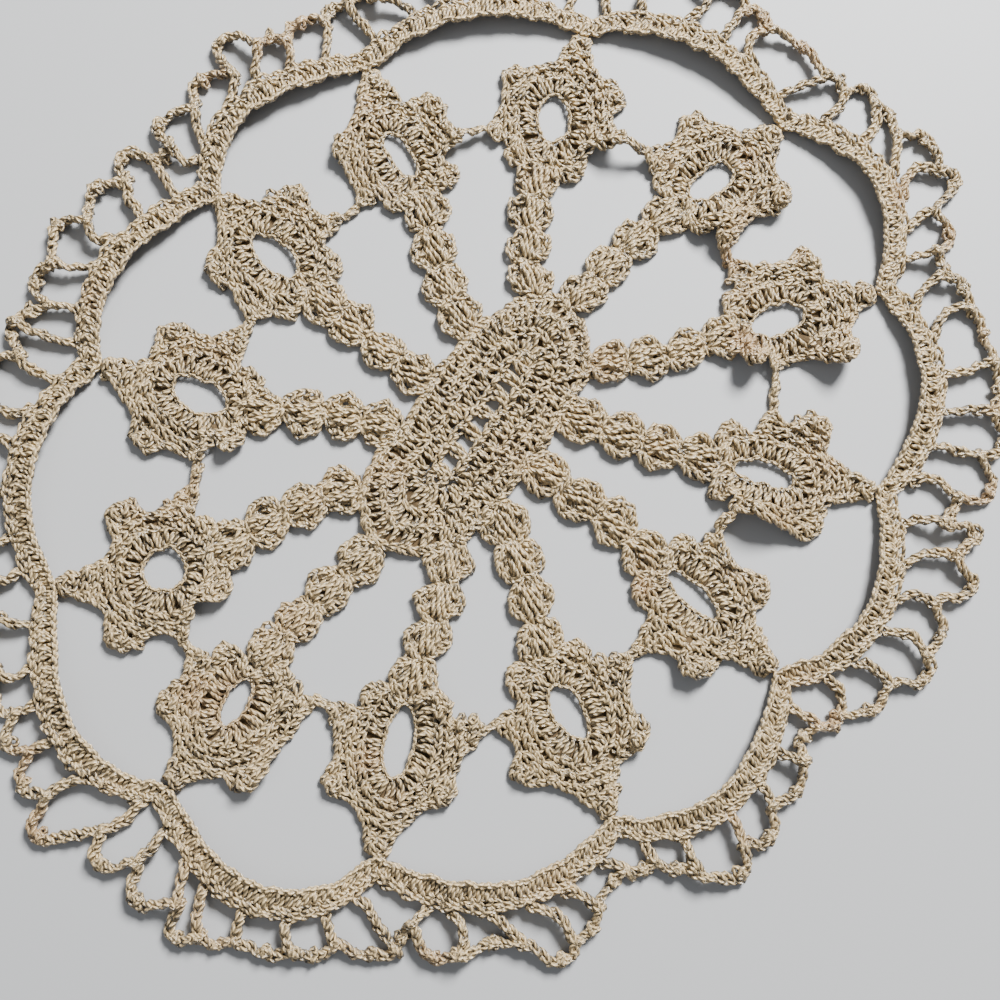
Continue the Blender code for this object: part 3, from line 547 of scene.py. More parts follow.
@dataclass
class Skein:
    """All the thread of one piece, gathered strand by strand and made into one mesh."""

    seed: int
    groups: list[Strands] = field(default_factory=list)

    def __post_init__(self) -> None:
        """Start the piece's own sequence of small differences."""
        self.random = np.random.default_rng(self.seed)

    def add(self, lines: np.ndarray, closed: bool, width: float, tone: float) -> None:
        """Lay strands.

        Args:
            lines: their middle lines, (strand, point, xyz), in plan millimetres.
            closed: whether each is a closed loop.
            width: across one thread.
            tone: mean lightness, 0 to 1.
        """
        tones = np.clip(tone + self.random.normal(0.0, TONE_VARIETY, len(lines)), 0.0, 1.0)
        lines = uneven(lines)
        lines[..., 2] = np.maximum(lines[..., 2], width / 2.0 + ON_FLOOR)
        self.groups.append(Strands(lines, tones, closed, width))

    def vary(self, count: int, amount: float) -> np.ndarray:
        """Small differences between one stitch and the next."""
        return self.random.uniform(-amount, amount, count)

    # ---- stitches

    def loops(self, path: Path, places: np.ndarray, base: Heights, style: Loops,
              left: float = 0.0) -> None:
        """Chain loops along a path, each drawn through the one before it.

        Args:
            path: the line that they follow.
            places: where along it each begins.
            base: height of the lace's underside at plan points.
            style: how they are worked.
            left: how far left of the path they lie.
        """
        if len(places) == 0:
            return
        around = 2.0 * pi * np.arange(LOOP_POINTS) / LOOP_POINTS
        along = style.pitch * (LOOP_MIDDLE - LOOP_HALF * np.cos(around))
        across = (style.spread * LOOP_WIDE * np.sin(around)
                  * (1.0 - LOOP_EGG - LOOP_EGG * np.cos(around)))
        fall = (0.5 + 0.5 * np.cos(around)) ** LOOP_FALL
        height = style.low + (style.high - style.low) * fall
        count = len(places)
        lean = 1.0 + self.vary(count, WAVER.lean)[:, None]
        drift = self.vary(count, WAVER.drift)[:, None]
        skew = self.vary(count, WAVER.skew)[:, None] * along[None]
        aside = self.vary(count, WAVER.aside)[:, None]
        lines = path.beside(places[:, None] + along[None] * lean + drift,
                            left + across[None] * lean + skew + aside)
        lines[..., 2] += (base(lines[..., :2]) + height[None]
                          + self.vary(count, WAVER.loop_height)[:, None])
        self.add(lines, closed=True, width=THREAD, tone=style.tone)

    def row(self, path: Path, base: Heights, style: Loops, left: float = 0.0,
            back: float = 0.0) -> None:
        """A row of loops over the whole of a path.

        Args:
            path: the line that they follow.
            base: height of the lace's underside at plan points.
            style: how they are worked.
            left: how far left of the path they lie.
            back: how far back each begins, as a share of their pitch.
        """
        self.loops(path, path.stations(style.pitch) - back * style.pitch, base, style, left)

    def posts(self, feet: np.ndarray, heads: np.ndarray, style: Posts) -> None:
        """Stitch posts on the lace: threads wound round each other from foot to head.

        Args:
            feet: plan points where the posts begin.
            heads: plan points where they end.
            style: how they are worked.
        """
        if len(feet) == 0:
            return
        share = np.linspace(0.0, 1.0, style.points)[None, :, None]
        plan = feet[:, None] + (heads - feet)[:, None] * share
        plan = plan + turned(unit(heads - feet))[:, None] * style.bow * bowed(share)
        height = np.interp(share[0, :, 0], (0.0, 0.5, 1.0), style.rise)
        height = (np.broadcast_to(height, plan.shape[:2])
                  + self.vary(len(feet), WAVER.post_height)[:, None])
        axes = np.concatenate((plan, (height + relief(plan))[..., None]), axis=-1)
        turns = style.turns
        if turns is None:
            turns = float(np.linalg.norm(heads - feet, axis=1).mean()) / POST_LEAD
        phase = self.vary(len(feet), WAVER.post_phase) - turns / 2.0
        self.add(twisted(axes, turns, style.spread, phase), closed=False, width=POST_THREAD,
                 tone=style.tone)

    def cord(self, points: np.ndarray, closed: bool, style: Cord) -> None:
        """A long twisted cord through points with their heights.

        Args:
            points: the axis, (point, xyz), about evenly spaced.
            closed: whether it runs round to its start.
            style: how it is worked.
        """
        path = Path(points, closed)
        count = max(int(path.length / CORD_STEP), 4)
        turns = max(round(path.length / style.pitch), 1)
        along = np.linspace(0.0, path.length * NEARLY_ALL, count if closed else count + 1,
                            endpoint=not closed)
        axis = path.at(along)[None]
        if closed:
            axis = np.concatenate((axis, axis[:, :1]), axis=1)
        lines = twisted(axis, turns, style.spread)
        if closed:
            lines = lines[:, :-1]
        self.add(lines, closed=closed, width=style.width, tone=style.tone)

    def swirl(self, middle: np.ndarray, radius: float, style: Loops) -> None:
        """A small ring of loops on the lace, as at a knobbly point or where a round closes.

        Args:
            middle: its middle in the plan.
            radius: from its middle to the loops.
            style: how they are worked.
        """
        angle = (2.0 * pi * np.arange(SWIRL_POINTS) / SWIRL_POINTS
                 + self.random.uniform(0.0, 2.0 * pi))
        ring = middle + radius * np.stack((np.cos(angle), np.sin(angle)), axis=-1)
        self.row(Path(with_height(ring, relief(middle)), closed=True), flat, style)

    # ---- mesh

    def mesh_object(self, name: str) -> bpy.types.Object:
        """Sweep every strand and join them all in one object.

        Args:
            name: the object's name.

        Returns:
            The object, at the origin, with its thread map and lightness.
        """
        corners: list[np.ndarray] = []
        faces: list[list[int]] = []
        threads: list[np.ndarray] = []
        sheet = BakeSheet(sum(len(group.lines) for group in self.groups))
        start = 0
        for group in self.groups:
            corners.append(swept(group))
            quads, ends = sweep_faces(group, start)
            faces += quads.reshape(-1, 4).tolist() + ends.reshape(-1, SIDES).tolist()
            threads.append(thread_map(group, sheet))
            start += len(corners[-1])
        places = np.concatenate(corners)
        piece = new_piece(name, places, faces)
        maps = np.concatenate(threads)
        for layer, columns in ((THREAD_MAP, maps[:, :2]), (BAKE_MAP, maps[:, 2:])):
            piece.data.uv_layers.new(name=layer).uv.foreach_set("vector", columns.ravel())
        # the tone attribute holds each thread's own lightness and the painted highlight and shade
        # of its corners
        tones = np.concatenate([tones_with_painted_light(group) for group in self.groups])
        for label, values in (("tone", tones), ("stain", stained(places[:, :2]))):
            attribute = piece.data.attributes.new(label, 'FLOAT', 'POINT')
            attribute.data.foreach_set("value", values.astype(np.float32))
        piece.data.shade_smooth()
        return piece


def new_piece(name: str, places: np.ndarray, faces: list[list[int]]) -> bpy.types.Object:
    """A mesh object at the origin.

    Args:
        name: the object's name.
        places: its corners, in plan millimetres.
        faces: the numbers of each face's corners.

    Returns:
        The object, in the scene.
    """
    moved = places - np.array((*PLAN_MIDDLE, 0.0))
    mesh = bpy.data.meshes.new(name)
    mesh.from_pydata(moved * MM, [], faces)
    piece = bpy.data.objects.new(name, mesh)
    bpy.context.scene.collection.objects.link(piece)
    return piece


def tones_with_painted_light(group: Strands) -> np.ndarray:
    """How light each corner of a group is: its thread's own tone, with painted highlight on top
    and where it crosses over, and painted shade underneath and where it dips under.

    Args:
        group: the strands.

    Returns:
        One lightness for each corner, 0 to 1.
    """
    height = group.lines[..., 2]
    padded = np.pad(height, ((0, 0), (LEVEL_REACH, LEVEL_REACH)),
                    mode='wrap' if group.closed else 'edge')
    window = np.lib.stride_tricks.sliding_window_view(padded, 2 * LEVEL_REACH + 1, axis=1)
    across = np.clip((height - window.mean(axis=-1)) / CROSS_HEIGHT, -1.0, 1.0)
    top = np.sin(2.0 * pi * np.arange(SIDES) / SIDES)
    # painted highlight and shade: lighter where raised and on top, darker where sunk and
    # underneath
    tones = group.tones[:, None, None] + CROSS_PAINTED_LIGHT * across[..., None] + TOP_PAINTED_LIGHT * top
    return np.clip(tones, 0.0, 1.0).ravel()


def stained(points: np.ndarray) -> np.ndarray:
    """How dark the cotton has gone at plan points, 0 to 1.

    Args:
        points: plan points.

    Returns:
        One darkness for each.
    """
    total = np.zeros(len(points))
    for x, y, reach in STAINS:
        distance = np.hypot(points[:, 0] - x, points[:, 1] - y) / reach
        total = np.maximum(total, smooth(STAIN_EDGE - distance))
    return total


def swept(group: Strands) -> np.ndarray:
    """Corners of a group of strands: a ring of sides round every point.

    Args:
        group: the strands.

    Returns:
        Corners in order of strand, point and side.
    """
    lines = group.lines
    if group.closed:
        heading = np.roll(lines, -1, axis=1) - np.roll(lines, 1, axis=1)
    else:
        heading = np.gradient(lines, axis=1)
    heading = unit(heading)
    side = unit(np.cross(heading, (0.0, 0.0, 1.0)))
    above = np.cross(side, heading)
    radius = np.full(lines.shape[1], group.width / 2.0)
    if not group.closed:
        radius[[0, -1]] *= END_SHARE
    angle = 2.0 * pi * np.arange(SIDES) / SIDES
    ring = (np.cos(angle)[:, None] * side[:, :, None] + np.sin(angle)[:, None] * above[:, :, None])
    return (lines[:, :, None] + ring * radius[None, :, None, None]).reshape(-1, 3)


def sweep_faces(group: Strands, start: int) -> tuple[np.ndarray, np.ndarray]:
    """Faces of a group of strands.

    Args:
        group: the strands.
        start: number of the group's first corner in its mesh.

    Returns:
        The quads round the threads, and the faces that close their ends.
    """
    count, points = group.lines.shape[:2]
    number = start + np.arange(count * points * SIDES).reshape(count, points, SIDES)
    ahead = np.roll(number, -1, axis=1)
    here = number if group.closed else number[:, :-1]
    ahead = ahead if group.closed else ahead[:, :-1]
    quads = np.stack((here, ahead, np.roll(ahead, -1, axis=2), np.roll(here, -1, axis=2)), axis=-1)
    if group.closed:
        return quads, np.zeros((0, SIDES), int)
    ends = np.concatenate((number[:, 0], number[:, -1, ::-1]))
    return quads, ends


@dataclass
class BakeSheet:
    """A square map with one cell for each strand of a piece."""

    strands: int
    used: int = 0
    margin: float = 0.08      # free border of a cell, as a share of it
    spot: float = 0.03        # radius of a closed end's spot in the border
    last_spot: float = 0.9    # place of the last end's spot

    def cells(self, count: int) -> tuple[np.ndarray, float]:
        """Take the next cells.

        Args:
            count: how many strands need one.

        Returns:
            The cells' lower corners, and the size of a cell.
        """
        across = int(np.ceil(np.sqrt(self.strands)))
        order = self.used + np.arange(count)
        self.used += count
        return np.stack((order % across, order // across), axis=-1) / across, 1.0 / across


def thread_map(group: Strands, sheet: BakeSheet) -> np.ndarray:
    """Both maps of a group: length along and share round the thread, and the place in its cell.

    Args:
        group: the strands.
        sheet: where the cells come from.

    Returns:
        Four numbers for each face corner, in the order of the faces.
    """
    count, points = group.lines.shape[:2]
    spans = points if group.closed else points - 1
    steps = np.linalg.norm(np.roll(group.lines, -1, axis=1) - group.lines, axis=-1)
    marks = np.concatenate((np.zeros((count, 1)), np.cumsum(steps, axis=1)), axis=1)
    cells, size = sheet.cells(count)
    corner_span = np.array((0, 1, 1, 0))
    corner_side = np.array((0, 0, 1, 1))
    span = np.arange(spans)[:, None, None] + corner_span
    side = np.arange(SIDES)[None, :, None] + corner_side
    shape = (count, spans, SIDES, 4)
    along = np.broadcast_to(marks[:, span], shape)
    around = np.broadcast_to(side / SIDES, shape)
    inside_u = sheet.margin + (1.0 - 2.0 * sheet.margin) * np.broadcast_to(span / spans, shape)
    inside_v = sheet.margin + (1.0 - 2.0 * sheet.margin) * around
    place = cells[:, None, None, None] + size * np.stack((inside_u, inside_v), axis=-1)
    quads = np.concatenate((np.stack((along, around), -1), place), axis=-1).reshape(-1, 4)
    if group.closed:
        return quads
    turn = 2.0 * pi * np.arange(SIDES) / SIDES
    spot = size * sheet.spot * (1.0 + np.stack((np.cos(turn), np.sin(turn)), axis=-1))
    ends = []
    for at_end in (0, 1):
        place = cells[:, None] + spot[None] + np.array((at_end * size * sheet.last_spot, 0.0))
        mark = np.broadcast_to((marks[:, -2] * at_end)[:, None], (count, SIDES))
        round_it = np.broadcast_to(np.arange(SIDES) / SIDES, (count, SIDES))
        ends.append(np.concatenate((np.stack((mark, round_it), -1), place), -1).reshape(-1, 4))
    return np.concatenate((quads, *ends))


# ---------------------------------------------------------------- ground of the lace, in painted shade

@dataclass
class ShadedGround:
    """The thin felt of under-threads, darkened as painted shade, that shows dark between the
    stitches.
    """

    low: float = 0.18
    thick: float = 0.42
    corners: list[np.ndarray] = field(default_factory=list)
    faces: list[np.ndarray] = field(default_factory=list)
    used: int = 0

    def band(self, inner: np.ndarray, outer: np.ndarray, closed: bool) -> None:
        """Add a closed slab between two edges.

        Args:
            inner: one edge, with the height of its underside.
            outer: the other, point for point.
            closed: whether the band runs round to its start.
        """
        count = len(inner)
        under = uneven(np.stack((inner, outer), axis=1) + np.array((0.0, 0.0, self.low)))
        under[..., 2] = np.maximum(under[..., 2], self.low)
        corners = np.concatenate((under, under + np.array((0.0, 0.0, self.thick))), axis=1)
        number = self.used + np.arange(count * 4).reshape(count, 4)
        ahead = np.roll(number, -1, axis=0)
        spans = count if closed else count - 1
        for first, second in ((0, 1), (1, 3), (3, 2), (2, 0)):
            self.faces.append(np.stack((number[:, first], ahead[:, first], ahead[:, second],
                                        number[:, second]), axis=-1)[:spans])
        if not closed:
            self.faces.append(number[[0, -1]][:, (0, 1, 3, 2)])
        self.corners.append(corners.reshape(-1, 3))
        self.used += count * 4

    def mesh_object(self, name: str) -> bpy.types.Object:
        """Join the bands in one object with its faces turned outwards.

        Args:
            name: the object's name.

        Returns:
            The object, at the origin.
        """
        piece = new_piece(name, np.concatenate(self.corners), np.concatenate(self.faces).tolist())
        bpy.ops.object.select_all(action='DESELECT')
        bpy.context.view_layer.objects.active = piece
        piece.select_set(True)
        bpy.ops.object.mode_set(mode='EDIT')
        bpy.ops.mesh.select_all(action='SELECT')
        bpy.ops.mesh.normals_make_consistent(inside=False)
        bpy.ops.object.mode_set(mode='OBJECT')
        return piece


def with_height(plan: np.ndarray, height: np.ndarray | float | None = None) -> np.ndarray:
    """Plan points with a height each: the given one, or the lace's own."""
    height = relief(plan) if height is None else np.broadcast_to(height, plan.shape[:-1])
    return np.concatenate((plan, np.asarray(height)[..., None]), axis=-1)


def flat(points: np.ndarray) -> np.ndarray:
    """No height besides what a path's own points carry."""
    return np.zeros(points.shape[:-1])


# ---------------------------------------------------------------- stars

def point_of(row: NamedTuple, first: str) -> np.ndarray:
    """A plan point from the two columns of a table row that share a name's start."""
    prefix = first + "_" if first else ""
    return np.array((getattr(row, prefix + "x"), getattr(row, prefix + "y")))


def joint_of(index: int) -> np.ndarray:
    """Where star number index meets the rim."""
    return point_of(ARCHES[index % len(ARCHES)], "")


def link_of(index: int) -> np.ndarray:
    """Where star number index is joined to the next one."""
    return point_of(LINKS[index % len(LINKS)], "")


@dataclass
class Star:
    """A motif worked round an eye: a ring of tall stitches, then rows out to its points."""

    index: int
    seed: int = 100
    # its outline: the petals count out from the spoke's seam
    petals: tuple[tuple[float, float], ...] = ((1.2, -0.6), (3.3, 1.9), (8.6, 2.7), (11.7, -1.3))
    dip_depth: float = 4.8
    point_width: float = 8.4
    point_end: float = 6.2
    point_taper: float = 2.4
    arm_width: float = 5.4
    arm_taper: float = 2.6
    tip_width: float = 5.4
    tip_taper: float = 2.4
    chain_width: float = 2.5
    least_chain: float = 0.6
    corner_rounds: int = 2
    # the eye's cord and the ring of tall stitches round it
    eye_steps: int = 360
    eye_points: int = 48
    eye_cord_height: float = 1.2
    eye_cord: Cord = Cord(0.26, 3.0, 0.74, 0.9)
    ring_points: int = 96
    ring_room: float = 2.2
    ring_least: float = 2.4
    ring_rounds: int = 3
    foot_inset: float = 0.5
    head_sway: float = 0.4
    ring_posts: Posts = Posts((1.0, 1.4, 1.2), 8, 0.55, turns=0.35, bow=0.3)
    # the rows of short stitches, the edge, the arms' chains and the knobs
    rows: int = 4
    row_gap: float = 0.35
    row_room: float = 2.1
    row_overlap: float = 0.9
    row_loops: Loops = Loops(2.35, 0.80, 0.85, 1.85)
    row_posts: Posts = Posts((0.75, 0.9, 0.95), 3, 0.4, turns=0.3)
    edge_inset: float = 1.1
    head_inset: float = 0.3
    edge_loops: Loops = Loops(2.35, 0.78, 0.7, 1.7, 0.65)
    edge_posts: Posts = Posts((0.8, 1.0, 0.9), 3, 0.45, turns=0.3)
    chain_overlap: tuple[float, float] = (1.6, 0.2)
    arm_loops: Loops = Loops(CHAIN_PITCH, 0.78, 0.55, 1.3)
    knob_inset: float = 2.6
    knob_radius: float = 1.45
    knob_loops: Loops = Loops(SWIRL_PITCH, 0.74, 1.3, 2.3)
    # the under-threads, a sheet of painted shade
    eye_margin: float = 0.45
    ground_inset: float = 0.75

    def __post_init__(self) -> None:
        """Look up the star's row and its joints."""
        self.row = STARS[self.index]
        self.middle = point_of(self.row, "")
        self.eye = point_of(self.row, "eye")
        self.root = point_of(self.row, "root")
        self.tip = joint_of(self.index)
        self.after = link_of(self.index)
        self.before = link_of(self.index - 1)
        self.skein = Skein(self.seed + self.index)

    def neck(self, end: np.ndarray, chain: float) -> np.ndarray:
        """Where an arm has narrowed to its bare chain."""
        return end - unit(end - self.eye) * max(chain, self.least_chain)

    def outline(self) -> np.ndarray:
        """The star's edge, counter-clockwise from its spoke seam, with rounded corners.

        Returns:
            Plan points of the closed edge.
        """
        notches = NOTCHES[self.index]
        after, before = point_of(self.row, "after"), point_of(self.row, "before")
        neck_after = self.neck(self.after, LINKS[self.index].chain)
        neck_before = self.neck(self.before, LINKS[self.index - 1].chain)
        arm_after = self.drawn(neck_after, self.arm_taper, self.arm_width, self.chain_width)
        arm_before = self.drawn(neck_before, self.arm_taper, self.arm_width, self.chain_width)
        petal_after, petal_before = self.petal(Side.LEFT), self.petal(Side.RIGHT)
        points = petal_after + [self.dip(petal_after[-1], arm_after[0])] + arm_after
        points += self.notch(self.after, after, notches.arm_after)
        points += self.drawn(after, self.point_taper, self.point_width, self.point_end)
        points += self.notch(after, self.tip, notches.tip_after)
        points += self.drawn(self.tip, self.tip_taper, self.arm_width, self.tip_width)
        points += self.notch(self.tip, before, notches.tip_before)
        points += self.drawn(before, self.point_taper, self.point_width, self.point_end)
        points += self.notch(before, self.before, notches.arm_before)
        points += arm_before + [self.dip(petal_before[-1], arm_before[-1])] + petal_before[::-1]
        return rounded(np.array(points), self.corner_rounds)

    def petal(self, side: Side) -> list[np.ndarray]:
        """The round shoulder on one side of the spoke seam, from the seam outwards.

        Args:
            side: the petal's side of the seam.

        Returns:
            Its corners in the plan.
        """
        inward = unit(self.root - self.middle)
        sideways = turned(inward) * side.value
        return [self.root + sideways * across + inward * ahead for across, ahead in self.petals]

    def dip(self, petal: np.ndarray, arm: np.ndarray) -> np.ndarray:
        """The shallow notch between a petal and the arm next to it."""
        between = (petal + arm) / 2.0
        return between + unit(self.eye - between) * self.dip_depth

    def notch(self, first: np.ndarray, second: np.ndarray, radius: float) -> list[np.ndarray]:
        """The notch between two points of the star."""
        between = unit(unit(first - self.middle) + unit(second - self.middle))
        return [self.middle + between * radius]

    def drawn(self, end: np.ndarray, taper: float, wide: float, narrow: float) -> list[np.ndarray]:
        """Four corners of a point of the star: two where it tapers, two at its end.

        Args:
            end: the middle of its end.
            taper: how far back it begins to narrow.
            wide: its width there.
            narrow: its width at the end.

        Returns:
            The corners, counter-clockwise.
        """
        out = unit(end - self.eye)
        side = turned(out)
        back = end - out * taper
        return [back - side * wide / 2.0, end - side * narrow / 2.0, end + side * narrow / 2.0,
                back + side * wide / 2.0]

    def eye_edge(self, count: int) -> tuple[np.ndarray, np.ndarray]:
        """Evenly spaced points round the eye, counter-clockwise, and the ways out from it.

        Args:
            count: how many points.

        Returns:
            The points, and their outward directions.
        """
        turn = radians(self.row.eye_turn)
        angle = np.linspace(0.0, 2.0 * pi, self.eye_steps + 1)[:-1]
        reach = np.array((self.row.eye_long, self.row.eye_wide))
        local = reach * np.stack((np.cos(angle), np.sin(angle)), axis=-1)
        to_plan = np.array(((cos(turn), sin(turn)), (-sin(turn), cos(turn))))
        path = Path(self.eye + local @ to_plan, closed=True)
        places = np.arange(count) * path.length / count
        return path.at(places)[:, :2], -turned(path.heading(places))

    def ring_reach(self, edge: np.ndarray, out: np.ndarray, outline: np.ndarray) -> np.ndarray:
        """Height of the tall stitches, less where the star's edge is near.

        Args:
            edge: points round the eye.
            out: the ways out from it.
            outline: the star's edge.

        Returns:
            One height for each point.
        """
        room = reach_to(edge, out, outline)
        height = np.clip(room - self.ring_room, self.ring_least, RING_STITCH)
        for _ in range(self.ring_rounds):
            height = 0.5 * height + 0.25 * (np.roll(height, 1) + np.roll(height, -1))
        return height

    def work(self, shaded_ground: ShadedGround) -> Skein:
        """Work the whole star.

        Args:
            shaded_ground: takes the star's under-threads, a sheet of painted shade.

        Returns:
            The star's thread.
        """
        outline = self.outline()
        self.work_ring(outline)
        self.work_rows(outline)
        self.work_chains()
        for end in (point_of(self.row, "after"), point_of(self.row, "before"), self.tip):
            middle = end - unit(end - self.eye) * self.knob_inset
            self.skein.swirl(middle, self.knob_radius, self.knob_loops)
        edge = Path(outline, closed=True)
        places = edge.stations(GROUND_STEP)
        around = edge.at(places)[:, :2]
        inner = self.eye + (around - self.eye) * self.eye_share(around)
        inset = edge.beside(places, self.ground_inset)[:, :2]
        shaded_ground.band(with_height(inner), with_height(inset), closed=True)
        return self.skein

    def eye_share(self, around: np.ndarray) -> np.ndarray:
        """Share of the way out at which a ray from the eye's middle leaves the eye.

        Args:
            around: plan points round the star.

        Returns:
            One share for each, as a column.
        """
        turn = radians(self.row.eye_turn)
        offset = around - self.eye
        along = offset[:, 0] * cos(turn) + offset[:, 1] * sin(turn)
        across = -offset[:, 0] * sin(turn) + offset[:, 1] * cos(turn)
        long, wide = self.row.eye_long + self.eye_margin, self.row.eye_wide + self.eye_margin
        return (1.0 / np.hypot(along / long, across / wide))[:, None]

    def work_ring(self, outline: np.ndarray) -> None:
        """The eye's cord, the tall stitches round it and the loops that top them.

        Args:
            outline: the star's edge.
        """
        edge, out = self.eye_edge(self.ring_points)
        height = self.ring_reach(edge, out, outline)[:, None]
        middle = Path(edge + out * height / 2.0, closed=True)
        places = middle.stations(RING_PITCH)
        number = np.interp(places, middle.marks, np.arange(self.ring_points + 1))
        feet, heads = (np.stack([np.interp(number, np.arange(self.ring_points), line[:, axis],
                                           period=self.ring_points) for axis in range(2)], axis=-1)
                       for line in (edge + out * self.foot_inset, edge + out * height))
        sway = self.skein.vary(len(feet), self.head_sway)
        heads += turned(unit(heads - feet)) * sway[:, None]
        self.skein.posts(feet, heads, self.ring_posts)
        line, _ = self.eye_edge(self.eye_points)
        raised = with_height(line, relief(line) + self.eye_cord_height)
        self.skein.cord(raised, True, self.eye_cord)

    def work_rows(self, outline: np.ndarray) -> None:
        """Rows of short stitches round the ring, out to the edge, and the chain of the edge.

        Args:
            outline: the star's edge.
        """
        edge, out = self.eye_edge(self.ring_points)
        room = reach_to(edge, out, outline)
        height = self.ring_reach(edge, out, outline)
        for order in range(self.rows):
            reach = height + self.row_gap + ROW_DEPTH * order
            line = Path(edge + out * reach[:, None], closed=True)
            places = line.stations(self.row_loops.pitch, shift=0.5 * (order % 2))
            number = np.interp(places, line.marks, np.arange(self.ring_points + 1))
            spare = np.interp(number, np.arange(self.ring_points), room - reach,
                              period=self.ring_points)
            kept = places[spare > self.row_room]
            self.skein.loops(line, kept, relief, self.row_loops)
            if order:
                feet = line.beside(kept, ROW_DEPTH * self.row_overlap)[:, :2]
                self.skein.posts(feet, line.at(kept)[:, :2], self.row_posts)
        path = Path(outline, closed=True)
        places = path.stations(self.edge_loops.pitch)
        self.skein.loops(path, places, relief, self.edge_loops, left=self.edge_inset)
        heads = path.beside(places, self.edge_inset + self.head_inset)[:, :2]
        feet = path.beside(places, self.edge_inset + ROW_DEPTH)[:, :2]
        self.skein.posts(feet, heads, self.edge_posts)

    def work_chains(self) -> None:
        """The bare chains of the two joined arms."""
        back, ahead = self.chain_overlap
        for end, chain in ((self.after, LINKS[self.index].chain),
                           (self.before, LINKS[self.index - 1].chain)):
            neck = self.neck(end, chain)
            out = unit(end - neck)
            path = Path(np.stack((neck - out * back, end + out * ahead)))
            self.skein.row(path, relief, self.arm_loops)


# ---------------------------------------------------------------- spokes

@dataclass
class Spoke:
    """Shell clusters in pairs along a stem, from the centre to a star."""

    index: int
    seed: int = 200
    # its shells
    clusters: int = 4
    pinch: float = 4.2
    fullness: float = 0.62
    overlap: float = 0.5
    # the long strands of its stem
    stem_points: int = 41
    stem_strands: int = 3
    stem_half: float = 2.7
    strand_half: float = 1.9
    strand_ends: tuple[float, float] = (0.04, 0.98)
    strand_shares: tuple[float, float] = (0.62, 0.9)
    strand_sway: float = 0.4
    ground_points: int = 10
    # a shell's fan of stitches, its scalloped edge and how much one shell differs from the next
    slip: float = 0.9
    unlikeness: float = 0.09
    fan_heads: tuple[float, ...] = (0.40, 0.84)
    fan_feet: tuple[float, ...] = (0.10, 0.16)
    fan_roots: tuple[float, ...] = (2.3, 1.5)
    fan_inset: float = 2.2
    fan_sway: float = 0.05
    fan_posts: Posts = Posts((0.9, 1.4, 1.1), 8, 0.5, bow=-0.4)
    strand_posts: Posts = Posts((1.2, 2.1, 1.3), 10, 0.62, bow=0.3, spread=0.6)
    edge_points: int = 25
    edges: tuple[tuple[float, Loops], ...] = ((1.4, Loops(2.2, 0.76, 0.75, 1.85, 0.65)),
                                              (2.9, Loops(2.7, 0.76, 0.55, 1.2, 0.4)))

    def __post_init__(self) -> None:
        """Look up the spoke's row and its two ends."""
        self.row = SPOKES[self.index]
        self.root = point_of(self.row, "")
        self.end = point_of(STARS[self.index], "root")
        self.skein = Skein(self.seed + self.index)

    def stem(self) -> Path:
        """The spoke's middle line, from the centre to its star.

        Returns:
            The line.
        """
        run = self.end - self.root
        share = np.linspace(0.0, 1.0, self.stem_points)[:, None]
        return Path(self.root + run * share + turned(unit(run)) * self.row.bend * bowed(share))

    def half_width(self, share: np.ndarray) -> np.ndarray:
        """Half the width of a cluster, along its length from 0 to 1."""
        swell = np.sin(pi * np.clip(share, 0.0, 1.0)) ** self.fullness
        return (self.pinch + (self.row.width + self.overlap - self.pinch) * swell) / 2.0

    def work(self, shaded_ground: ShadedGround) -> Skein:
        """Work the whole spoke.

        Args:
            shaded_ground: takes the spoke's under-threads, a sheet of painted shade.

        Returns:
            The spoke's thread.
        """
        stem = self.stem()
        length = stem.length / self.clusters
        for order in range(self.clusters):
            self.work_cluster(stem, order * length, length)
        share = np.linspace(0.0, 1.0, 1 + self.ground_points * self.clusters)
        places = share * stem.length
        left, right = (stem.beside(places, side.value * self.stem_half)[:, :2] for side in Side)
        shaded_ground.band(with_height(left), with_height(right), closed=False)
        return self.skein

    def work_cluster(self, stem: Path, start: float, length: float) -> None:
        """One pair of shells: long middle stitches, fans beside them and scalloped edges.

        Args:
            stem: the spoke's middle line.
            start: where along it they begin.
            length: their length.
        """
        for side in Side:
            slipped = start + self.skein.vary(1, self.slip)[0]
            fullness = 1.0 + self.skein.vary(1, self.unlikeness)[0]
            share = np.array(self.fan_heads) + self.skein.vary(len(self.fan_heads), self.fan_sway)
            reach = self.half_width(share) * fullness - self.fan_inset
            heads = stem.beside(slipped + share * length, side.value * reach)[:, :2]
            feet = stem.beside(slipped + np.array(self.fan_feet) * length,
                               side.value * np.array(self.fan_roots))[:, :2]
            posts = self.fan_posts._replace(bow=self.fan_posts.bow * side.value)
            self.skein.posts(feet, heads, posts)
            self.work_scallop(stem, slipped, length, side, fullness)
        middle = np.linspace(-self.strand_half, self.strand_half, self.stem_strands)
        foot, head = (np.full(self.stem_strands, start + end * length) for end in self.strand_ends)
        foot_share, head_share = self.strand_shares
        feet = stem.beside(foot, middle * foot_share)[:, :2]
        head = head + self.skein.vary(self.stem_strands, self.strand_sway)
        self.skein.posts(feet, stem.beside(head, middle * head_share)[:, :2], self.strand_posts)

    def work_scallop(self, stem: Path, start: float, length: float, side: Side,
                     fullness: float) -> None:
        """The loops along the rounded edge of one shell, in two rows.

        Args:
            stem: the spoke's middle line.
            start: where along it the shell begins.
            length: the shell's length.
            side: the shell's side of the stem.
            fullness: its width, as a share of the usual one.
        """
        share = np.linspace(0.0, 1.0, self.edge_points)
        half = self.half_width(share) * fullness
        for inset, loops in self.edges:
            line = Path(stem.beside(start + share * length, side.value * (half - inset))[:, :2])
            self.skein.row(line, relief, loops, back=0.5)


# ---------------------------------------------------------------- centre

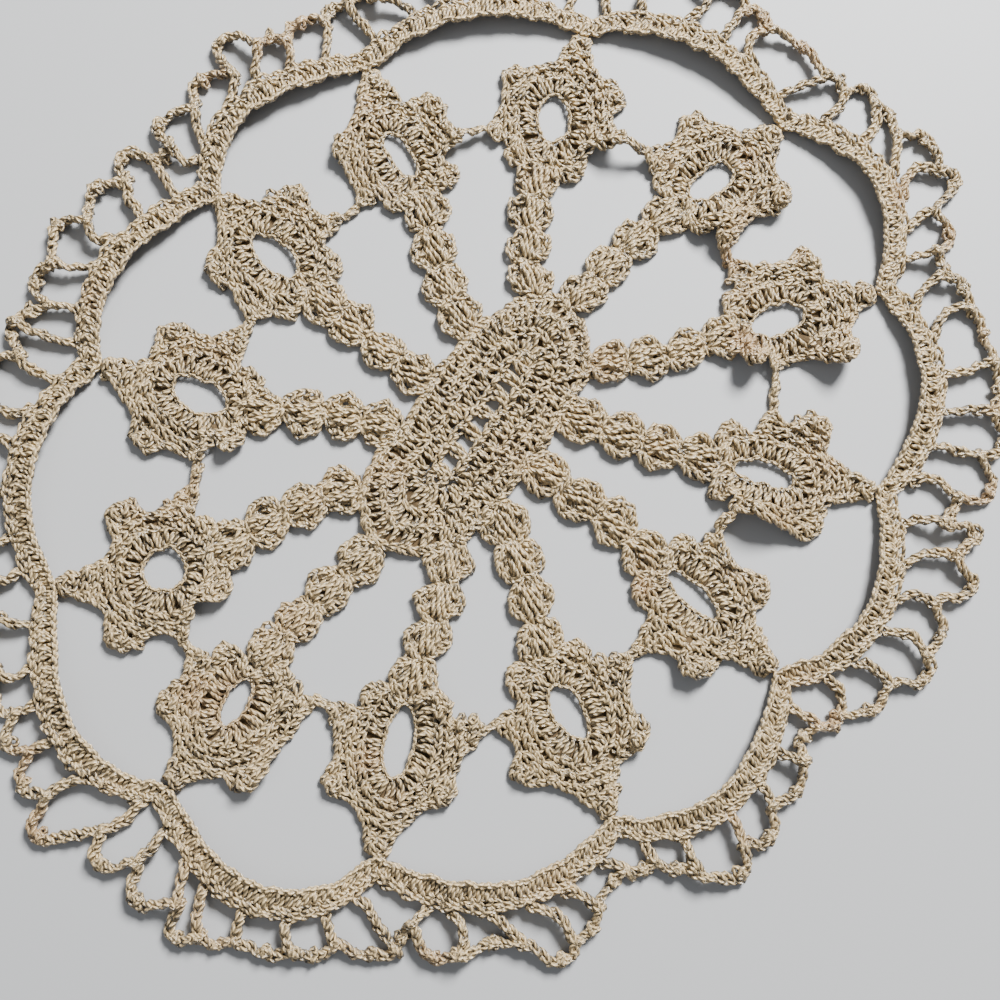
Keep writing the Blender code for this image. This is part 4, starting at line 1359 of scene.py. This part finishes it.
@dataclass
class Centre:
    """The oval centre: two rounds of tall stitches about a ladder of rungs and windows."""

    seed: int = 300
    # its outline and its ladder
    seam_width: float = 5.2
    bulge: float = 0.06
    corner_rounds: int = 1
    ladder_start: tuple[float, float] = (-15.9, 1.1)
    ladder_end: tuple[float, float] = (17.9, 6.0)
    ladder_half: float = 3.2
    # its rounds of stitches, each from and to a share of the way out, and their pitch
    rounds: tuple[tuple[float, float, float], ...] = ((0.05, 0.36, 2.15), (0.44, 0.92, 2.05))
    top_gap: float = 0.03
    foot_sway: float = 0.3
    head_sway: float = 0.7
    edge_inset: float = 1.0
    ground_inset: float = 0.6
    ground_share: float = 0.1
    # the ladder's rails and rungs, and the swirls at its ends
    rail_inset: float = 0.35
    rung_half: float = 0.75
    rung_inset: float = 0.2
    last_rung: float = 3.1
    swirl_reach: float = 1.9
    swirl_radius: float = 2.1
    end_row: float = 0.66
    end_depth: float = 12.5
    # how its stitches are worked
    round_posts: Posts = Posts((1.1, 1.5, 1.2), 8, 0.5, turns=0.45, bow=0.25)
    top_loops: Loops = Loops(2.4, 0.82, 0.9, 1.9)
    end_loops: Loops = Loops(2.4, 0.82, 1.1, 2.0)
    edge_loops: Loops = Loops(2.4, 0.8, 0.9, 1.8, 0.62)
    rail_loops: Loops = Loops(2.3, 0.8, 0.8, 1.8)
    rung_posts: Posts = Posts((1.1, 1.4, 1.1), 8, 0.65, turns=0.3)
    swirl_loops: Loops = Loops(SWIRL_PITCH, 0.74, 0.9, 1.9)

    def __post_init__(self) -> None:
        """Start the centre's thread."""
        self.skein = Skein(self.seed)
        self.first = np.array(self.ladder_start)
        self.last = np.array(self.ladder_end)

    def outline(self) -> np.ndarray:
        """The centre's edge, counter-clockwise: a seam at each spoke, a shallow curve between.

        Returns:
            Plan points of the closed edge.
        """
        roots = np.array([point_of(spoke, "") for spoke in SPOKES])
        seams = unit(np.roll(roots, -1, axis=0) - np.roll(roots, 1, axis=0))
        points = []
        for order, (root, seam) in enumerate(zip(roots, seams)):
            ahead = (order + 1) % len(roots)
            first = root + seam * self.seam_width / 2.0
            last = roots[ahead] - seams[ahead] * self.seam_width / 2.0
            points += [root - seam * self.seam_width / 2.0, first]
            outward = turned(unit(last - first)) * self.bulge * np.linalg.norm(last - first)
            points += [first + (last - first) * share + outward * bowed(share)
                       for share in (0.25, 0.5, 0.75)]
        return rounded(np.array(points[::-1]), self.corner_rounds)

    def slit(self, around: np.ndarray) -> np.ndarray:
        """The ladder's edge nearest to each point of the outline.

        Args:
            around: plan points round the centre.

        Returns:
            The nearest point of the ladder's edge to each.
        """
        run = self.last - self.first
        share = np.clip(((around - self.first) @ run) / (run @ run), 0.0, 1.0)[:, None]
        nearest = self.first + run * share
        return nearest + unit(around - nearest) * self.ladder_half

    def work(self, shaded_ground: ShadedGround) -> Skein:
        """Work the whole centre.

        Args:
            shaded_ground: takes the centre's under-threads, a sheet of painted shade.

        Returns:
            The centre's thread.
        """
        edge = Path(self.outline(), closed=True)
        for start, end, pitch in self.rounds:
            self.work_round(edge, (start, end), pitch)
        self.work_ends(edge)
        self.skein.row(edge, relief, self.edge_loops, left=self.edge_inset)
        self.work_ladder()
        around = edge.beside(edge.stations(GROUND_STEP), self.ground_inset)[:, :2]
        slit = self.slit(around)
        inner = slit + (around - slit) * self.ground_share
        shaded_ground.band(with_height(inner), with_height(around), closed=True)
        return self.skein

    def work_ends(self, edge: Path) -> None:
        """The extra row of loops at the two ends, where the centre is deepest.

        Args:
            edge: the centre's outline.
        """
        dense = edge.at(edge.stations(DENSE_STEP))[:, :2]
        inner = self.slit(dense)
        depth = np.linalg.norm(dense - inner, axis=1)
        line = Path(inner + (dense - inner) * self.end_row, closed=True)
        places = line.stations(self.end_loops.pitch)
        kept = places[np.interp(places, line.marks[:-1], depth) > self.end_depth]
        self.skein.loops(line, kept, relief, self.end_loops)

    def work_round(self, edge: Path, span: tuple[float, float], pitch: float) -> None:
        """One round of tall stitches and the loops that top it.

        Args:
            edge: the centre's outline.
            span: where the stitches stand, as shares of the way from ladder to edge.
            pitch: distance between two stitches, measured half-way up them.
        """
        dense = edge.at(edge.stations(DENSE_STEP))[:, :2]
        inner = self.slit(dense)
        foot, middle, head, top = (inner + (dense - inner) * share for share in
                                   (span[0], sum(span) / 2.0, span[1], span[1] + self.top_gap))
        line = Path(middle, closed=True)
        places = line.stations(pitch)
        places = places + self.skein.vary(len(places), self.foot_sway)
        feet, heads = (
            np.stack([np.interp(places, line.marks[:-1], ends[:, k]) for k in range(2)], -1)
            for ends in (foot, head))
        sway = self.skein.vary(len(places), self.head_sway)
        heads = heads + turned(unit(heads - feet)) * sway[:, None]
        self.skein.posts(feet, heads, self.round_posts)
        self.skein.row(Path(top, closed=True), relief, self.top_loops)

    def work_ladder(self) -> None:
        """The ladder's two rails of loops and the rungs between its windows."""
        along = unit(self.last - self.first)
        up = turned(along)
        for side in Side:
            rail = up * side.value * (self.ladder_half - self.rail_inset)
            self.skein.row(Path(np.stack((self.first, self.last)) + rail), relief, self.rail_loops)
        windows = np.array(LADDER)
        rungs = (windows[1:] + windows[:-1]) / 2.0
        last = along * self.last_rung
        ends = np.array((windows[0] - last, windows[-1] + last))
        rungs = np.concatenate((rungs, ends))
        rungs = np.concatenate((rungs - along * self.rung_half, rungs + along * self.rung_half))
        reach = up * (self.ladder_half - self.rung_inset)
        self.skein.posts(rungs - reach, rungs + reach, self.rung_posts)
        past = along * self.swirl_reach
        for middle in (self.first - past, self.last + past):
            self.skein.swirl(middle, self.swirl_radius, self.swirl_loops)


# ---------------------------------------------------------------- rim

@dataclass
class Rim:
    """The band of arches: a smooth inner cord, short stitches and a chain edge, lifted inside."""

    seed: int = 400
    # its band
    width: float = 6.7
    width_at_joint: float = 4.9
    lift: float = 3.0
    slope: float = 0.45
    joint_blend: float = 0.14
    steps: int = 40
    heading_step: float = 0.004
    # its stitches
    cord_inset: float = 0.50
    cord_height: float = 1.35
    # the inner cord's full lightness of 1.0 is a painted highlight on the raised inner edge
    inner_cord: Cord = Cord(0.36, 3.4, 1.1, 1.0)
    post_pitch: float = 1.9
    post_lines: tuple[float, float] = (0.09, 0.64)
    post_lean: float = 0.35
    post_height: float = 1.05
    post_rise: float = 0.2
    post_sway: float = 0.1
    post_phase: float = -0.15
    phase_sway: float = 0.06
    post_points: int = 8
    post_turns: float = 0.3
    post_spread: float = 0.50
    post_tone: float = 0.6
    chains: tuple[tuple[float, Loops], ...] = ((0.70, Loops(2.3, 0.70, 0.75, 1.6)),
                                               (0.89, Loops(2.4, 0.86, 0.75, 1.75)))
    ground_edges: tuple[float, float] = (0.5, -0.9)

    def __post_init__(self) -> None:
        """Start the rim's thread."""
        self.skein = Skein(self.seed)

    def edge(self, index: int, place: np.ndarray) -> np.ndarray:
        """Inner edge of an arch, at places from 0 to 1 along it.

        Args:
            index: number of the arch.
            place: places from 0 to 1 along it.

        Returns:
            Plan points.
        """
        arch, start = ARCHES[index], joint_of(index)
        chord = joint_of(index + 1) - start
        skewed = place + 2.0 * arch.skew * place * (1.0 - place)
        rise = arch.rise * (1.0 - (2.0 * skewed - 1.0) ** 2)
        return start + chord * place[..., None] + turned(unit(chord)) * rise[..., None]

    def station(self, index: int, place: np.ndarray) -> tuple[np.ndarray, np.ndarray]:
        """Inner edge of an arch and the direction across the band there.

        Args:
            index: number of the arch.
            place: places from 0 to 1 along it.

        Returns:
            The points, and the outward directions.
        """
        ahead = self.edge(index, np.minimum(place + self.heading_step, 1.0))
        behind = self.edge(index, np.maximum(place - self.heading_step, 0.0))
        square = turned(unit(ahead - behind))
        joints = [turned(unit(joint_of(near + 1) - joint_of(near - 1)))
                  for near in (index, index + 1)]
        at_joint = np.where((place < 0.5)[..., None], joints[0], joints[1])
        share = smooth(np.minimum(place, 1.0 - place) / self.joint_blend)[..., None]
        return self.edge(index, place), unit(at_joint + (square - at_joint) * share)

    def band_width(self, place: np.ndarray) -> np.ndarray:
        """Width of the band along an arch."""
        return self.width_at_joint + (self.width - self.width_at_joint) * np.sin(pi * place)

    def height(self, place: np.ndarray, across: float) -> np.ndarray:
        """Height of the band's underside, which stands up at its inner edge."""
        return self.lift * np.sin(pi * place) * (1.0 - self.slope * across)

    def line(self, across: float, offset: float = 0.0) -> np.ndarray:
        """A line all round the band, at a share of its width, with its height.

        Args:
            across: share of the band's width, from its inner edge.
            offset: millimetres further out.

        Returns:
            The points with their heights.
        """
        place = np.arange(self.steps) / self.steps
        parts = []
        for index in range(len(ARCHES)):
            inner, square = self.station(index, place)
            plan = inner + square * (self.band_width(place) * across + offset)[:, None]
            parts.append(with_height(plan, self.height(place, across)))
        return np.concatenate(parts)

    def work(self, shaded_ground: ShadedGround) -> Skein:
        """Work the whole rim.

        Args:
            shaded_ground: takes the rim's under-threads, a sheet of painted shade.

        Returns:
            The rim's thread.
        """
        inner = self.line(0.0, self.cord_inset) + np.array((0.0, 0.0, self.cord_height))
        self.skein.cord(inner, True, self.inner_cord)
        self.work_posts()
        for across, loops in self.chains:
            self.skein.row(Path(self.line(across), closed=True), flat, loops)
        near, far = self.ground_edges
        shaded_ground.band(self.line(0.0, near), self.line(1.0, far), closed=True)
        return self.skein

    def work_posts(self) -> None:
        """The short slanted stitches from the inner cord to the chain edge."""
        foot_line, head_line = (Path(self.line(across), closed=True) for across in self.post_lines)
        places = foot_line.stations(self.post_pitch)
        ahead = (places + self.post_lean) * head_line.length / foot_line.length
        feet, heads = foot_line.at(places), head_line.at(ahead)
        share = np.linspace(0.0, 1.0, self.post_points)[None, :, None]
        axes = feet[:, None] + (heads - feet)[:, None] * share
        axes[..., 2] += self.post_height + self.post_rise * np.sin(pi * share[..., 0])
        axes[..., 2] += self.skein.vary(len(places), self.post_sway)[:, None]
        phase = self.skein.vary(len(places), self.phase_sway) + self.post_phase
        self.skein.add(twisted(axes, self.post_turns, self.post_spread, phase), closed=False,
                       width=POST_THREAD, tone=self.post_tone)


# ---------------------------------------------------------------- edging

@dataclass
class Edging:
    """Chain loops carried on legs from the rim, with knobbly crowns."""

    rim: Rim
    seed: int = 500
    chain_width: float = 2.3
    crown_spread: float = 0.2
    crown_drop: float = 0.4
    foot_gap: float = 0.5
    lift: float = 1.65
    waves: tuple[tuple[float, float], ...] = ((1.9, 0.50), (0.83, 0.41))
    steps: int = 6
    leg_points: int = 7
    # its chain, and the knobs as their count of loops and their rise
    chain_loops: Loops = Loops(CHAIN_PITCH, 0.84, 0.55, 1.75)
    under_height: float = 0.5
    under_cord: Cord = Cord(0.66, 3.4, 0.95, 0.45)
    knot: tuple[int, float] = (2, 0.5)
    crown: tuple[int, float] = (3, 0.75)
    knob_span: tuple[float, float] = (1.0, 1.2)
    knob_heights: tuple[float, float] = (0.5, 0.3)
    knob_start: float = 0.3
    knob_loops: Loops = Loops(2.0, 0.68, 0.55, 1.4, 0.55)

    def __post_init__(self) -> None:
        """Start the edging's thread and find its knots and crowns."""
        self.skein = Skein(self.seed)
        self.knots = np.array([(leg.knot_x, leg.knot_y) for leg in LEGS])
        self.crowns = np.array([(leg.crown_x, leg.crown_y) for leg in LEGS])
        order = np.arange(len(LEGS))
        self.heights = self.lift * (1.0 + sum(share * np.sin(turn * order)
                                              for turn, share in self.waves))

    def loop_line(self) -> np.ndarray:
        """The middle line of all the loops, clockwise, with its height.

        Returns:
            The points with their heights.
        """
        chord = np.roll(self.knots, -1, axis=0) - self.knots
        reach = np.minimum(self.crown_spread * np.linalg.norm(chord, axis=1), self.chain_width)
        half = unit(chord) * reach[:, None]
        low = self.heights * self.crown_drop
        marks = np.stack((with_height(self.knots, self.heights),
                          with_height(self.crowns - half, low),
                          with_height(self.crowns + half, low)), axis=1).reshape(-1, 3)
        before, first = np.roll(marks, 1, axis=0), marks
        last, after = np.roll(marks, -1, axis=0), np.roll(marks, -2, axis=0)
        parts = []
        for share in np.arange(self.steps) / self.steps:
            parts.append(0.5 * (2.0 * first + (last - before) * share
                                + (2.0 * before - 5.0 * first + 4.0 * last - after) * share ** 2
                                + (3.0 * first - before - 3.0 * last + after) * share ** 3))
        return np.stack(parts, axis=1).reshape(-1, 3)

    def leg_line(self, order: int) -> np.ndarray:
        """The middle line of one leg, from its knot to the rim, with its height.

        Args:
            order: number of the leg.

        Returns:
            The points with their heights.
        """
        leg = LEGS[order]
        place = np.array(leg.place)
        inner, square = self.rim.station(leg.arch - 1, place)
        foot = inner + square * (self.rim.band_width(place) + self.foot_gap)
        share = np.linspace(0.0, 1.0, self.leg_points)[:, None]
        knot = self.knots[order]
        run = foot - knot
        plan = knot + run * share - turned(unit(run)) * leg.bow * bowed(share)
        climb = float(self.rim.height(place, 1.0)) - self.heights[order]
        return with_height(plan, self.heights[order] + climb * share[:, 0])

    def work(self) -> Skein:
        """Work the whole edging.

        Returns:
            The edging's thread.
        """
        self.chain(Path(self.loop_line(), closed=True))
        for order, height in enumerate(self.heights):
            self.chain(Path(self.leg_line(order)))
            self.knob(self.knots[order], height, *self.knot)
            self.knob(self.crowns[order], height * self.crown_drop, *self.crown)
        return self.skein

    def chain(self, path: Path) -> None:
        """A chain along a path: linked loops over a twisted strand.

        Args:
            path: the chain's middle line.
        """
        self.skein.row(path, flat, self.chain_loops, back=0.5)
        under = path.points + np.array((0.0, 0.0, self.under_height))
        self.skein.cord(under[:-1] if path.closed else under, path.closed, self.under_cord)

    def knob(self, middle: np.ndarray, height: float, loops: int, above: float) -> None:
        """A few loops heaped on one another, where the chain is knotted or has a picot.

        Args:
            middle: its middle in the plan.
            height: height of the chain there.
            loops: how many loops are heaped.
            above: how far they stand above the chain.
        """
        bearing = self.skein.random.uniform(0.0, 2.0 * pi)
        behind, ahead = self.knob_span
        first, last = self.knob_heights
        for order in range(loops):
            angle = bearing + 2.0 * pi * order / loops
            heading = np.array((cos(angle), sin(angle)))
            start = with_height(middle - heading * behind, height + above * first)
            end = with_height(middle + heading * ahead, height + above * last)
            self.skein.loops(Path(np.stack((start, end))), np.array((self.knob_start,)), flat,
                             self.knob_loops)


# ---------------------------------------------------------------- finishes

class Signal:
    """A number socket in a material, for sums written as they are read."""

    def __init__(self, paint: "Paint", socket: bpy.types.NodeSocket) -> None:
        """Hold a socket of a material."""
        self.paint = paint
        self.socket = socket

    def math(self, operation: str, *others: "Signal | float", swapped: bool = False) -> "Signal":
        """Join this signal and others in a Math node.

        Args:
            operation: the node's operation.
            others: signals or numbers.
            swapped: whether the first other comes before this signal.

        Returns:
            The result.
        """
        values: list["Signal | float"] = [self, *others]
        if swapped:
            values[0], values[1] = values[1], values[0]
        node = self.paint.tree.nodes.new("ShaderNodeMath")
        node.operation = operation
        for socket, value in zip(node.inputs, values):
            self.paint.feed(socket, value)
        return Signal(self.paint, node.outputs[0])

    def __add__(self, other: "Signal | float") -> "Signal":
        """Sum."""
        return self.math('ADD', other)

    __radd__ = __add__

    def __sub__(self, other: "Signal | float") -> "Signal":
        """Difference."""
        return self.math('SUBTRACT', other)

    def __rsub__(self, other: float) -> "Signal":
        """Difference from a number."""
        return self.math('SUBTRACT', other, swapped=True)

    def __mul__(self, other: "Signal | float") -> "Signal":
        """Product."""
        return self.math('MULTIPLY', other)

    __rmul__ = __mul__

    def __truediv__(self, other: "Signal | float") -> "Signal":
        """Quotient."""
        return self.math('DIVIDE', other)

    def __rtruediv__(self, other: float) -> "Signal":
        """A number over this signal."""
        return self.math('DIVIDE', other, swapped=True)

    def wave(self) -> "Signal":
        """Sine of the signal in turns, from 0 to 1."""
        return (self * (2.0 * pi)).math('SINE') * 0.5 + 0.5

    def kept(self) -> "Signal":
        """The signal kept between 0 and 1."""
        return self.math('MINIMUM', 1.0).math('MAXIMUM', 0.0)


class Paint:
    """A material's node tree, built by short calls."""

    def __init__(self, name: str) -> None:
        """Start a material.

        Args:
            name: the material's name.
        """
        self.material = bpy.data.materials.new(name)
        self.material.use_nodes = True
        self.tree = self.material.node_tree
        self.shader = self.tree.nodes["Principled BSDF"]

    def feed(self, socket: bpy.types.NodeSocket, value: object) -> None:
        """Link a signal or socket to an input, or set the input's value.

        Args:
            socket: the input.
            value: a signal, a socket or a plain value.
        """
        if isinstance(value, Signal):
            value = value.socket
        if isinstance(value, bpy.types.NodeSocket):
            self.tree.links.new(value, socket)
        else:
            socket.default_value = value

    def node(self, kind: str, settings: dict[str, object], inputs: dict[str, object],
             output: str | int = 0) -> bpy.types.NodeSocket:
        """Add any node.

        Args:
            kind: the node's type.
            settings: its properties.
            inputs: its inputs by name.
            output: the output wanted.

        Returns:
            That output.
        """
        node = self.tree.nodes.new(kind)
        for key, value in settings.items():
            setattr(node, key, value)
        for key, value in inputs.items():
            self.feed(node.inputs[key], value)
        return node.outputs[output]

    def mix(self, share: Signal, first: object, second: object) -> bpy.types.NodeSocket:
        """Mix two colours.

        Args:
            share: how much of the second.
            first: a colour or a socket.
            second: the other colour or socket.

        Returns:
            The mixed colour.
        """
        node = self.tree.nodes.new("ShaderNodeMix")
        node.data_type = 'RGBA'
        self.feed(node.inputs[0], share)
        self.feed(node.inputs[6], first)
        self.feed(node.inputs[7], second)
        return node.outputs[2]

    def place(self) -> bpy.types.NodeSocket:
        """Object coordinates."""
        return self.node("ShaderNodeTexCoord", {}, {}, "Object")

    def noise(self, scale: float, detail: float = 3.0, roughness: float = 0.55) -> Signal:
        """Noise over the object's own coordinates, 0 to 1.

        Args:
            scale: waves a metre.
            detail: how many finer waves are added.
            roughness: how strong the finer waves are.

        Returns:
            The noise.
        """
        return Signal(self, self.node("ShaderNodeTexNoise", {}, {
            "Vector": self.place(), "Scale": scale, "Detail": detail, "Roughness": roughness},
            "Fac"))

    def attribute(self, name: str) -> Signal:
        """A number that the mesh carries at its points."""
        return Signal(self, self.node("ShaderNodeAttribute", {"attribute_name": name}, {}, "Fac"))

    def surface(self, **inputs: object) -> None:
        """Set the shader's inputs, with underscores for spaces."""
        for key, value in inputs.items():
            self.feed(self.shader.inputs[key.replace("_", " ")], value)

    def bump(self, height: Signal, depth: float) -> bpy.types.NodeSocket:
        """A bumped normal from a height in 0 to 1 and its depth in metres."""
        return self.node("ShaderNodeBump", {}, {"Height": height, "Distance": depth})


@dataclass(frozen=True)
class CrochetCotton:
    """Ecru mercerised cotton: two plies twisted hard, faintly glossy, browner where aged, with
    painted highlight and shade.
    """

    light: tuple[float, float, float, float] = (0.64, 0.469, 0.236, 1.0)
    shade: tuple[float, float, float, float] = (0.080, 0.060, 0.033, 1.0)
    aged: tuple[float, float, float, float] = (0.42, 0.258, 0.122, 1.0)
    ply_pitch: float = 1.8            # along the thread, in millimetres
    plies: float = 2.0
    ply_depth: float = 0.00055        # in metres
    ply_bump: float = 0.85
    fibre_bump: float = 0.25
    fibre_scale: float = 5200.0       # in waves a metre, as the two below
    mottle_scale: float = 150.0
    patch_scale: float = 38.0
    tone_weight: float = 0.95
    mottle_weight: float = 0.50
    # painted highlight on the ply ridges and painted shade in the grooves between them, in the
    # colour
    ply_painted_light_weight: float = 0.90
    fibre_weight: float = 0.20
    darkness: float = 0.89
    stain_weight: float = 0.75
    patch_start: float = 0.56
    patch_weight: float = 2.2
    most_aged: float = 0.8
    roughness: float = 0.27
    roughness_range: float = 0.2

    def material(self) -> bpy.types.Material:
        """The cotton's material, which reads the thread map.

        Returns:
            The material.
        """
        paint = Paint("crochet_cotton")
        split = paint.tree.nodes.new("ShaderNodeSeparateXYZ")
        paint.feed(split.inputs[0], paint.node("ShaderNodeUVMap", {"uv_map": THREAD_MAP}, {}))
        along, around = Signal(paint, split.outputs[0]), Signal(paint, split.outputs[1])
        ply = (along / self.ply_pitch + around * self.plies).wave()
        fibre = paint.noise(self.fibre_scale)
        mottle = paint.noise(self.mottle_scale, roughness=0.6)
        patch = paint.noise(self.patch_scale, detail=2.0)
        # lightness mixes the shade and light colours: the threads' own tone, mottle and fibre,
        # with painted highlight and shade from the tone attribute and the ply grooves
        lightness = (paint.attribute("tone") * self.tone_weight + mottle * self.mottle_weight
                     + ply * self.ply_painted_light_weight + fibre * self.fibre_weight - self.darkness).kept()
        cotton = paint.mix(lightness, self.shade, self.light)
        age = (paint.attribute("stain") * self.stain_weight
               + (patch - self.patch_start) * self.patch_weight).kept() * self.most_aged
        relief_height = ply * self.ply_bump + fibre * self.fibre_bump
        paint.surface(Base_Color=paint.mix(age, cotton, self.aged),
                      Roughness=self.roughness + (fibre - 0.5) * self.roughness_range,
                      Normal=paint.bump(relief_height, self.ply_depth),
                      Specular_IOR_Level=0.9, Coat_Weight=0.3, Coat_Roughness=0.22,
                      Sheen_Weight=0.08, Sheen_Roughness=0.45)
        return paint.material


@dataclass(frozen=True)
class ShadedUnderThread:
    """The matt under-side of the stitches, darkened as painted shade."""

    # both colours are painted shade: the dark under-side of the cotton between the stitches
    shade: tuple[float, float, float, float] = (0.05, 0.033, 0.016, 1.0)
    light: tuple[float, float, float, float] = (0.15, 0.10, 0.05, 1.0)
    grain_scale: float = 900.0
    grain_depth: float = 0.0003
    roughness: float = 0.9

    def material(self) -> bpy.types.Material:
        """The under-threads' material of painted shade, in object coordinates.

        Returns:
            The material.
        """
        paint = Paint("under_thread_painted_shade")
        grain = paint.noise(self.grain_scale)
        paint.surface(Base_Color=paint.mix(grain, self.shade, self.light),
                      Roughness=self.roughness, Normal=paint.bump(grain, self.grain_depth),
                      Specular_IOR_Level=0.2)
        return paint.material


@dataclass(frozen=True)
class PaleFloor:
    """A plain pale satin surface."""

    colour: tuple[float, float, float, float] = (0.44, 0.445, 0.45, 1.0)
    roughness: float = 0.55

    def material(self) -> bpy.types.Material:
        """The floor's material.

        Returns:
            The material.
        """
        paint = Paint("pale_floor")
        paint.surface(Base_Color=self.colour, Roughness=self.roughness, Specular_IOR_Level=0.3)
        return paint.material


# ---------------------------------------------------------------- studio

class LampRow(NamedTuple):
    """A square soft light: its name, where it hangs, its side and its power in watts."""

    name: str
    place: tuple[float, float, float]
    size: float
    power: float


@dataclass
class Studio:
    """The floor, the soft light and the camera, in metres."""

    floor_size: float = 8.0
    lamps: tuple[LampRow, ...] = (LampRow("window", (0.85, 0.20, 0.75), 0.35, 50.0),
                                  LampRow("fill", (-0.75, 0.35, 0.9), 1.2, 2.0))
    sky: tuple[float, float, float, float] = (0.90, 0.94, 1.0, 1.0)
    sky_strength: float = 0.24
    view_from: tuple[float, float, float] = (-0.03634, -0.02557, 0.24802)
    view_way: tuple[float, float, float] = (0.1164, 0.0471, -0.9921)
    view_up: tuple[float, float, float] = (0.7135, 0.6909, 0.1165)
    lens: float = 36.0
    sensor: float = 36.0
    nearest: float = 0.01

    def build(self) -> None:
        """Set the whole studio."""
        self.floor()
        self.lights()
        self.camera()

    def floor(self) -> None:
        """A pale plane just under the lace."""
        bpy.ops.mesh.primitive_plane_add(size=self.floor_size, location=(0.0, 0.0, 0.0))
        plane = bpy.context.active_object
        plane.name = "floor"
        plane.data.materials.append(PaleFloor().material())

    def lights(self) -> None:
        """A broad window light from beyond the top of the view, and a dim even fill."""
        for row in self.lamps:
            self.lamp(row)
        world = bpy.context.scene.world or bpy.data.worlds.new("studio")
        bpy.context.scene.world = world
        world.use_nodes = True
        background = world.node_tree.nodes["Background"]
        background.inputs["Color"].default_value = self.sky
        background.inputs["Strength"].default_value = self.sky_strength

    def lamp(self, row: LampRow) -> None:
        """Hang one light, turned to the lace.

        Args:
            row: the light.
        """
        light = bpy.data.lights.new(row.name, 'AREA')
        light.size = row.size
        light.energy = row.power
        holder = bpy.data.objects.new(row.name, light)
        holder.location = row.place
        holder.rotation_euler = (-Vector(row.place)).to_track_quat('-Z', 'Y').to_euler()
        bpy.context.scene.collection.objects.link(holder)

    def camera(self) -> None:
        """The camera over the lace, looking down on it at a slant."""
        way, up = Vector(self.view_way).normalized(), Vector(self.view_up)
        side = way.cross(up).normalized()
        up = side.cross(way)
        turn = Matrix((side, up, -way)).transposed().to_4x4()
        lens = bpy.data.cameras.new("view")
        lens.lens = self.lens
        lens.sensor_width = self.sensor
        lens.sensor_fit = 'HORIZONTAL'
        lens.clip_start = self.nearest
        camera = bpy.data.objects.new("view", lens)
        camera.matrix_world = Matrix.Translation(self.view_from) @ turn
        bpy.context.scene.collection.objects.link(camera)
        bpy.context.scene.camera = camera


# ---------------------------------------------------------------- the whole lace

def dress(piece: bpy.types.Object, material: bpy.types.Material, *nodes: str) -> None:
    """Give a piece its finish, its body and the nodes that it stands for.

    Args:
        piece: the finished piece.
        material: its material.
        nodes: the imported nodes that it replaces.
    """
    piece.data.materials.append(material)
    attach(piece, "root")
    if nodes:
        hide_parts(*nodes)
    LOG.info("%s: %d faces", piece.name, len(piece.data.polygons))


def main() -> None:
    """Work every part of the lace, lay it on the floor and light it."""
    logging.basicConfig(level=logging.INFO, format="%(message)s")
    shaded_ground = ShadedGround()
    cotton = CrochetCotton().material()

    def take(skein: Skein, name: str, *nodes: str) -> None:
        """Make a skein's mesh and dress it.

        Args:
            skein: the thread of one piece.
            name: the piece's name.
            nodes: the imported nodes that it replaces.
        """
        piece = skein.mesh_object(name)
        dress(piece, cotton, *nodes)

    take(Centre().work(shaded_ground), "centre_stitches", "centre")
    for index in range(len(STARS)):
        for kind, part in (("spoke", Spoke(index)), ("star", Star(index))):
            node = f"{kind}_{index + 1:02d}"
            take(part.work(shaded_ground), f"{node}_stitches", node)
    rim = Rim()
    take(rim.work(shaded_ground), "rim_stitches", "rim")
    take(Edging(rim).work(), "edging_stitches", "edging")
    # the sheet of under-threads, coloured as painted shade
    under = shaded_ground.mesh_object("lace_ground_painted_shade")
    dress(under, ShadedUnderThread().material())
    Studio().build()


if __name__ == "__main__":
    main()
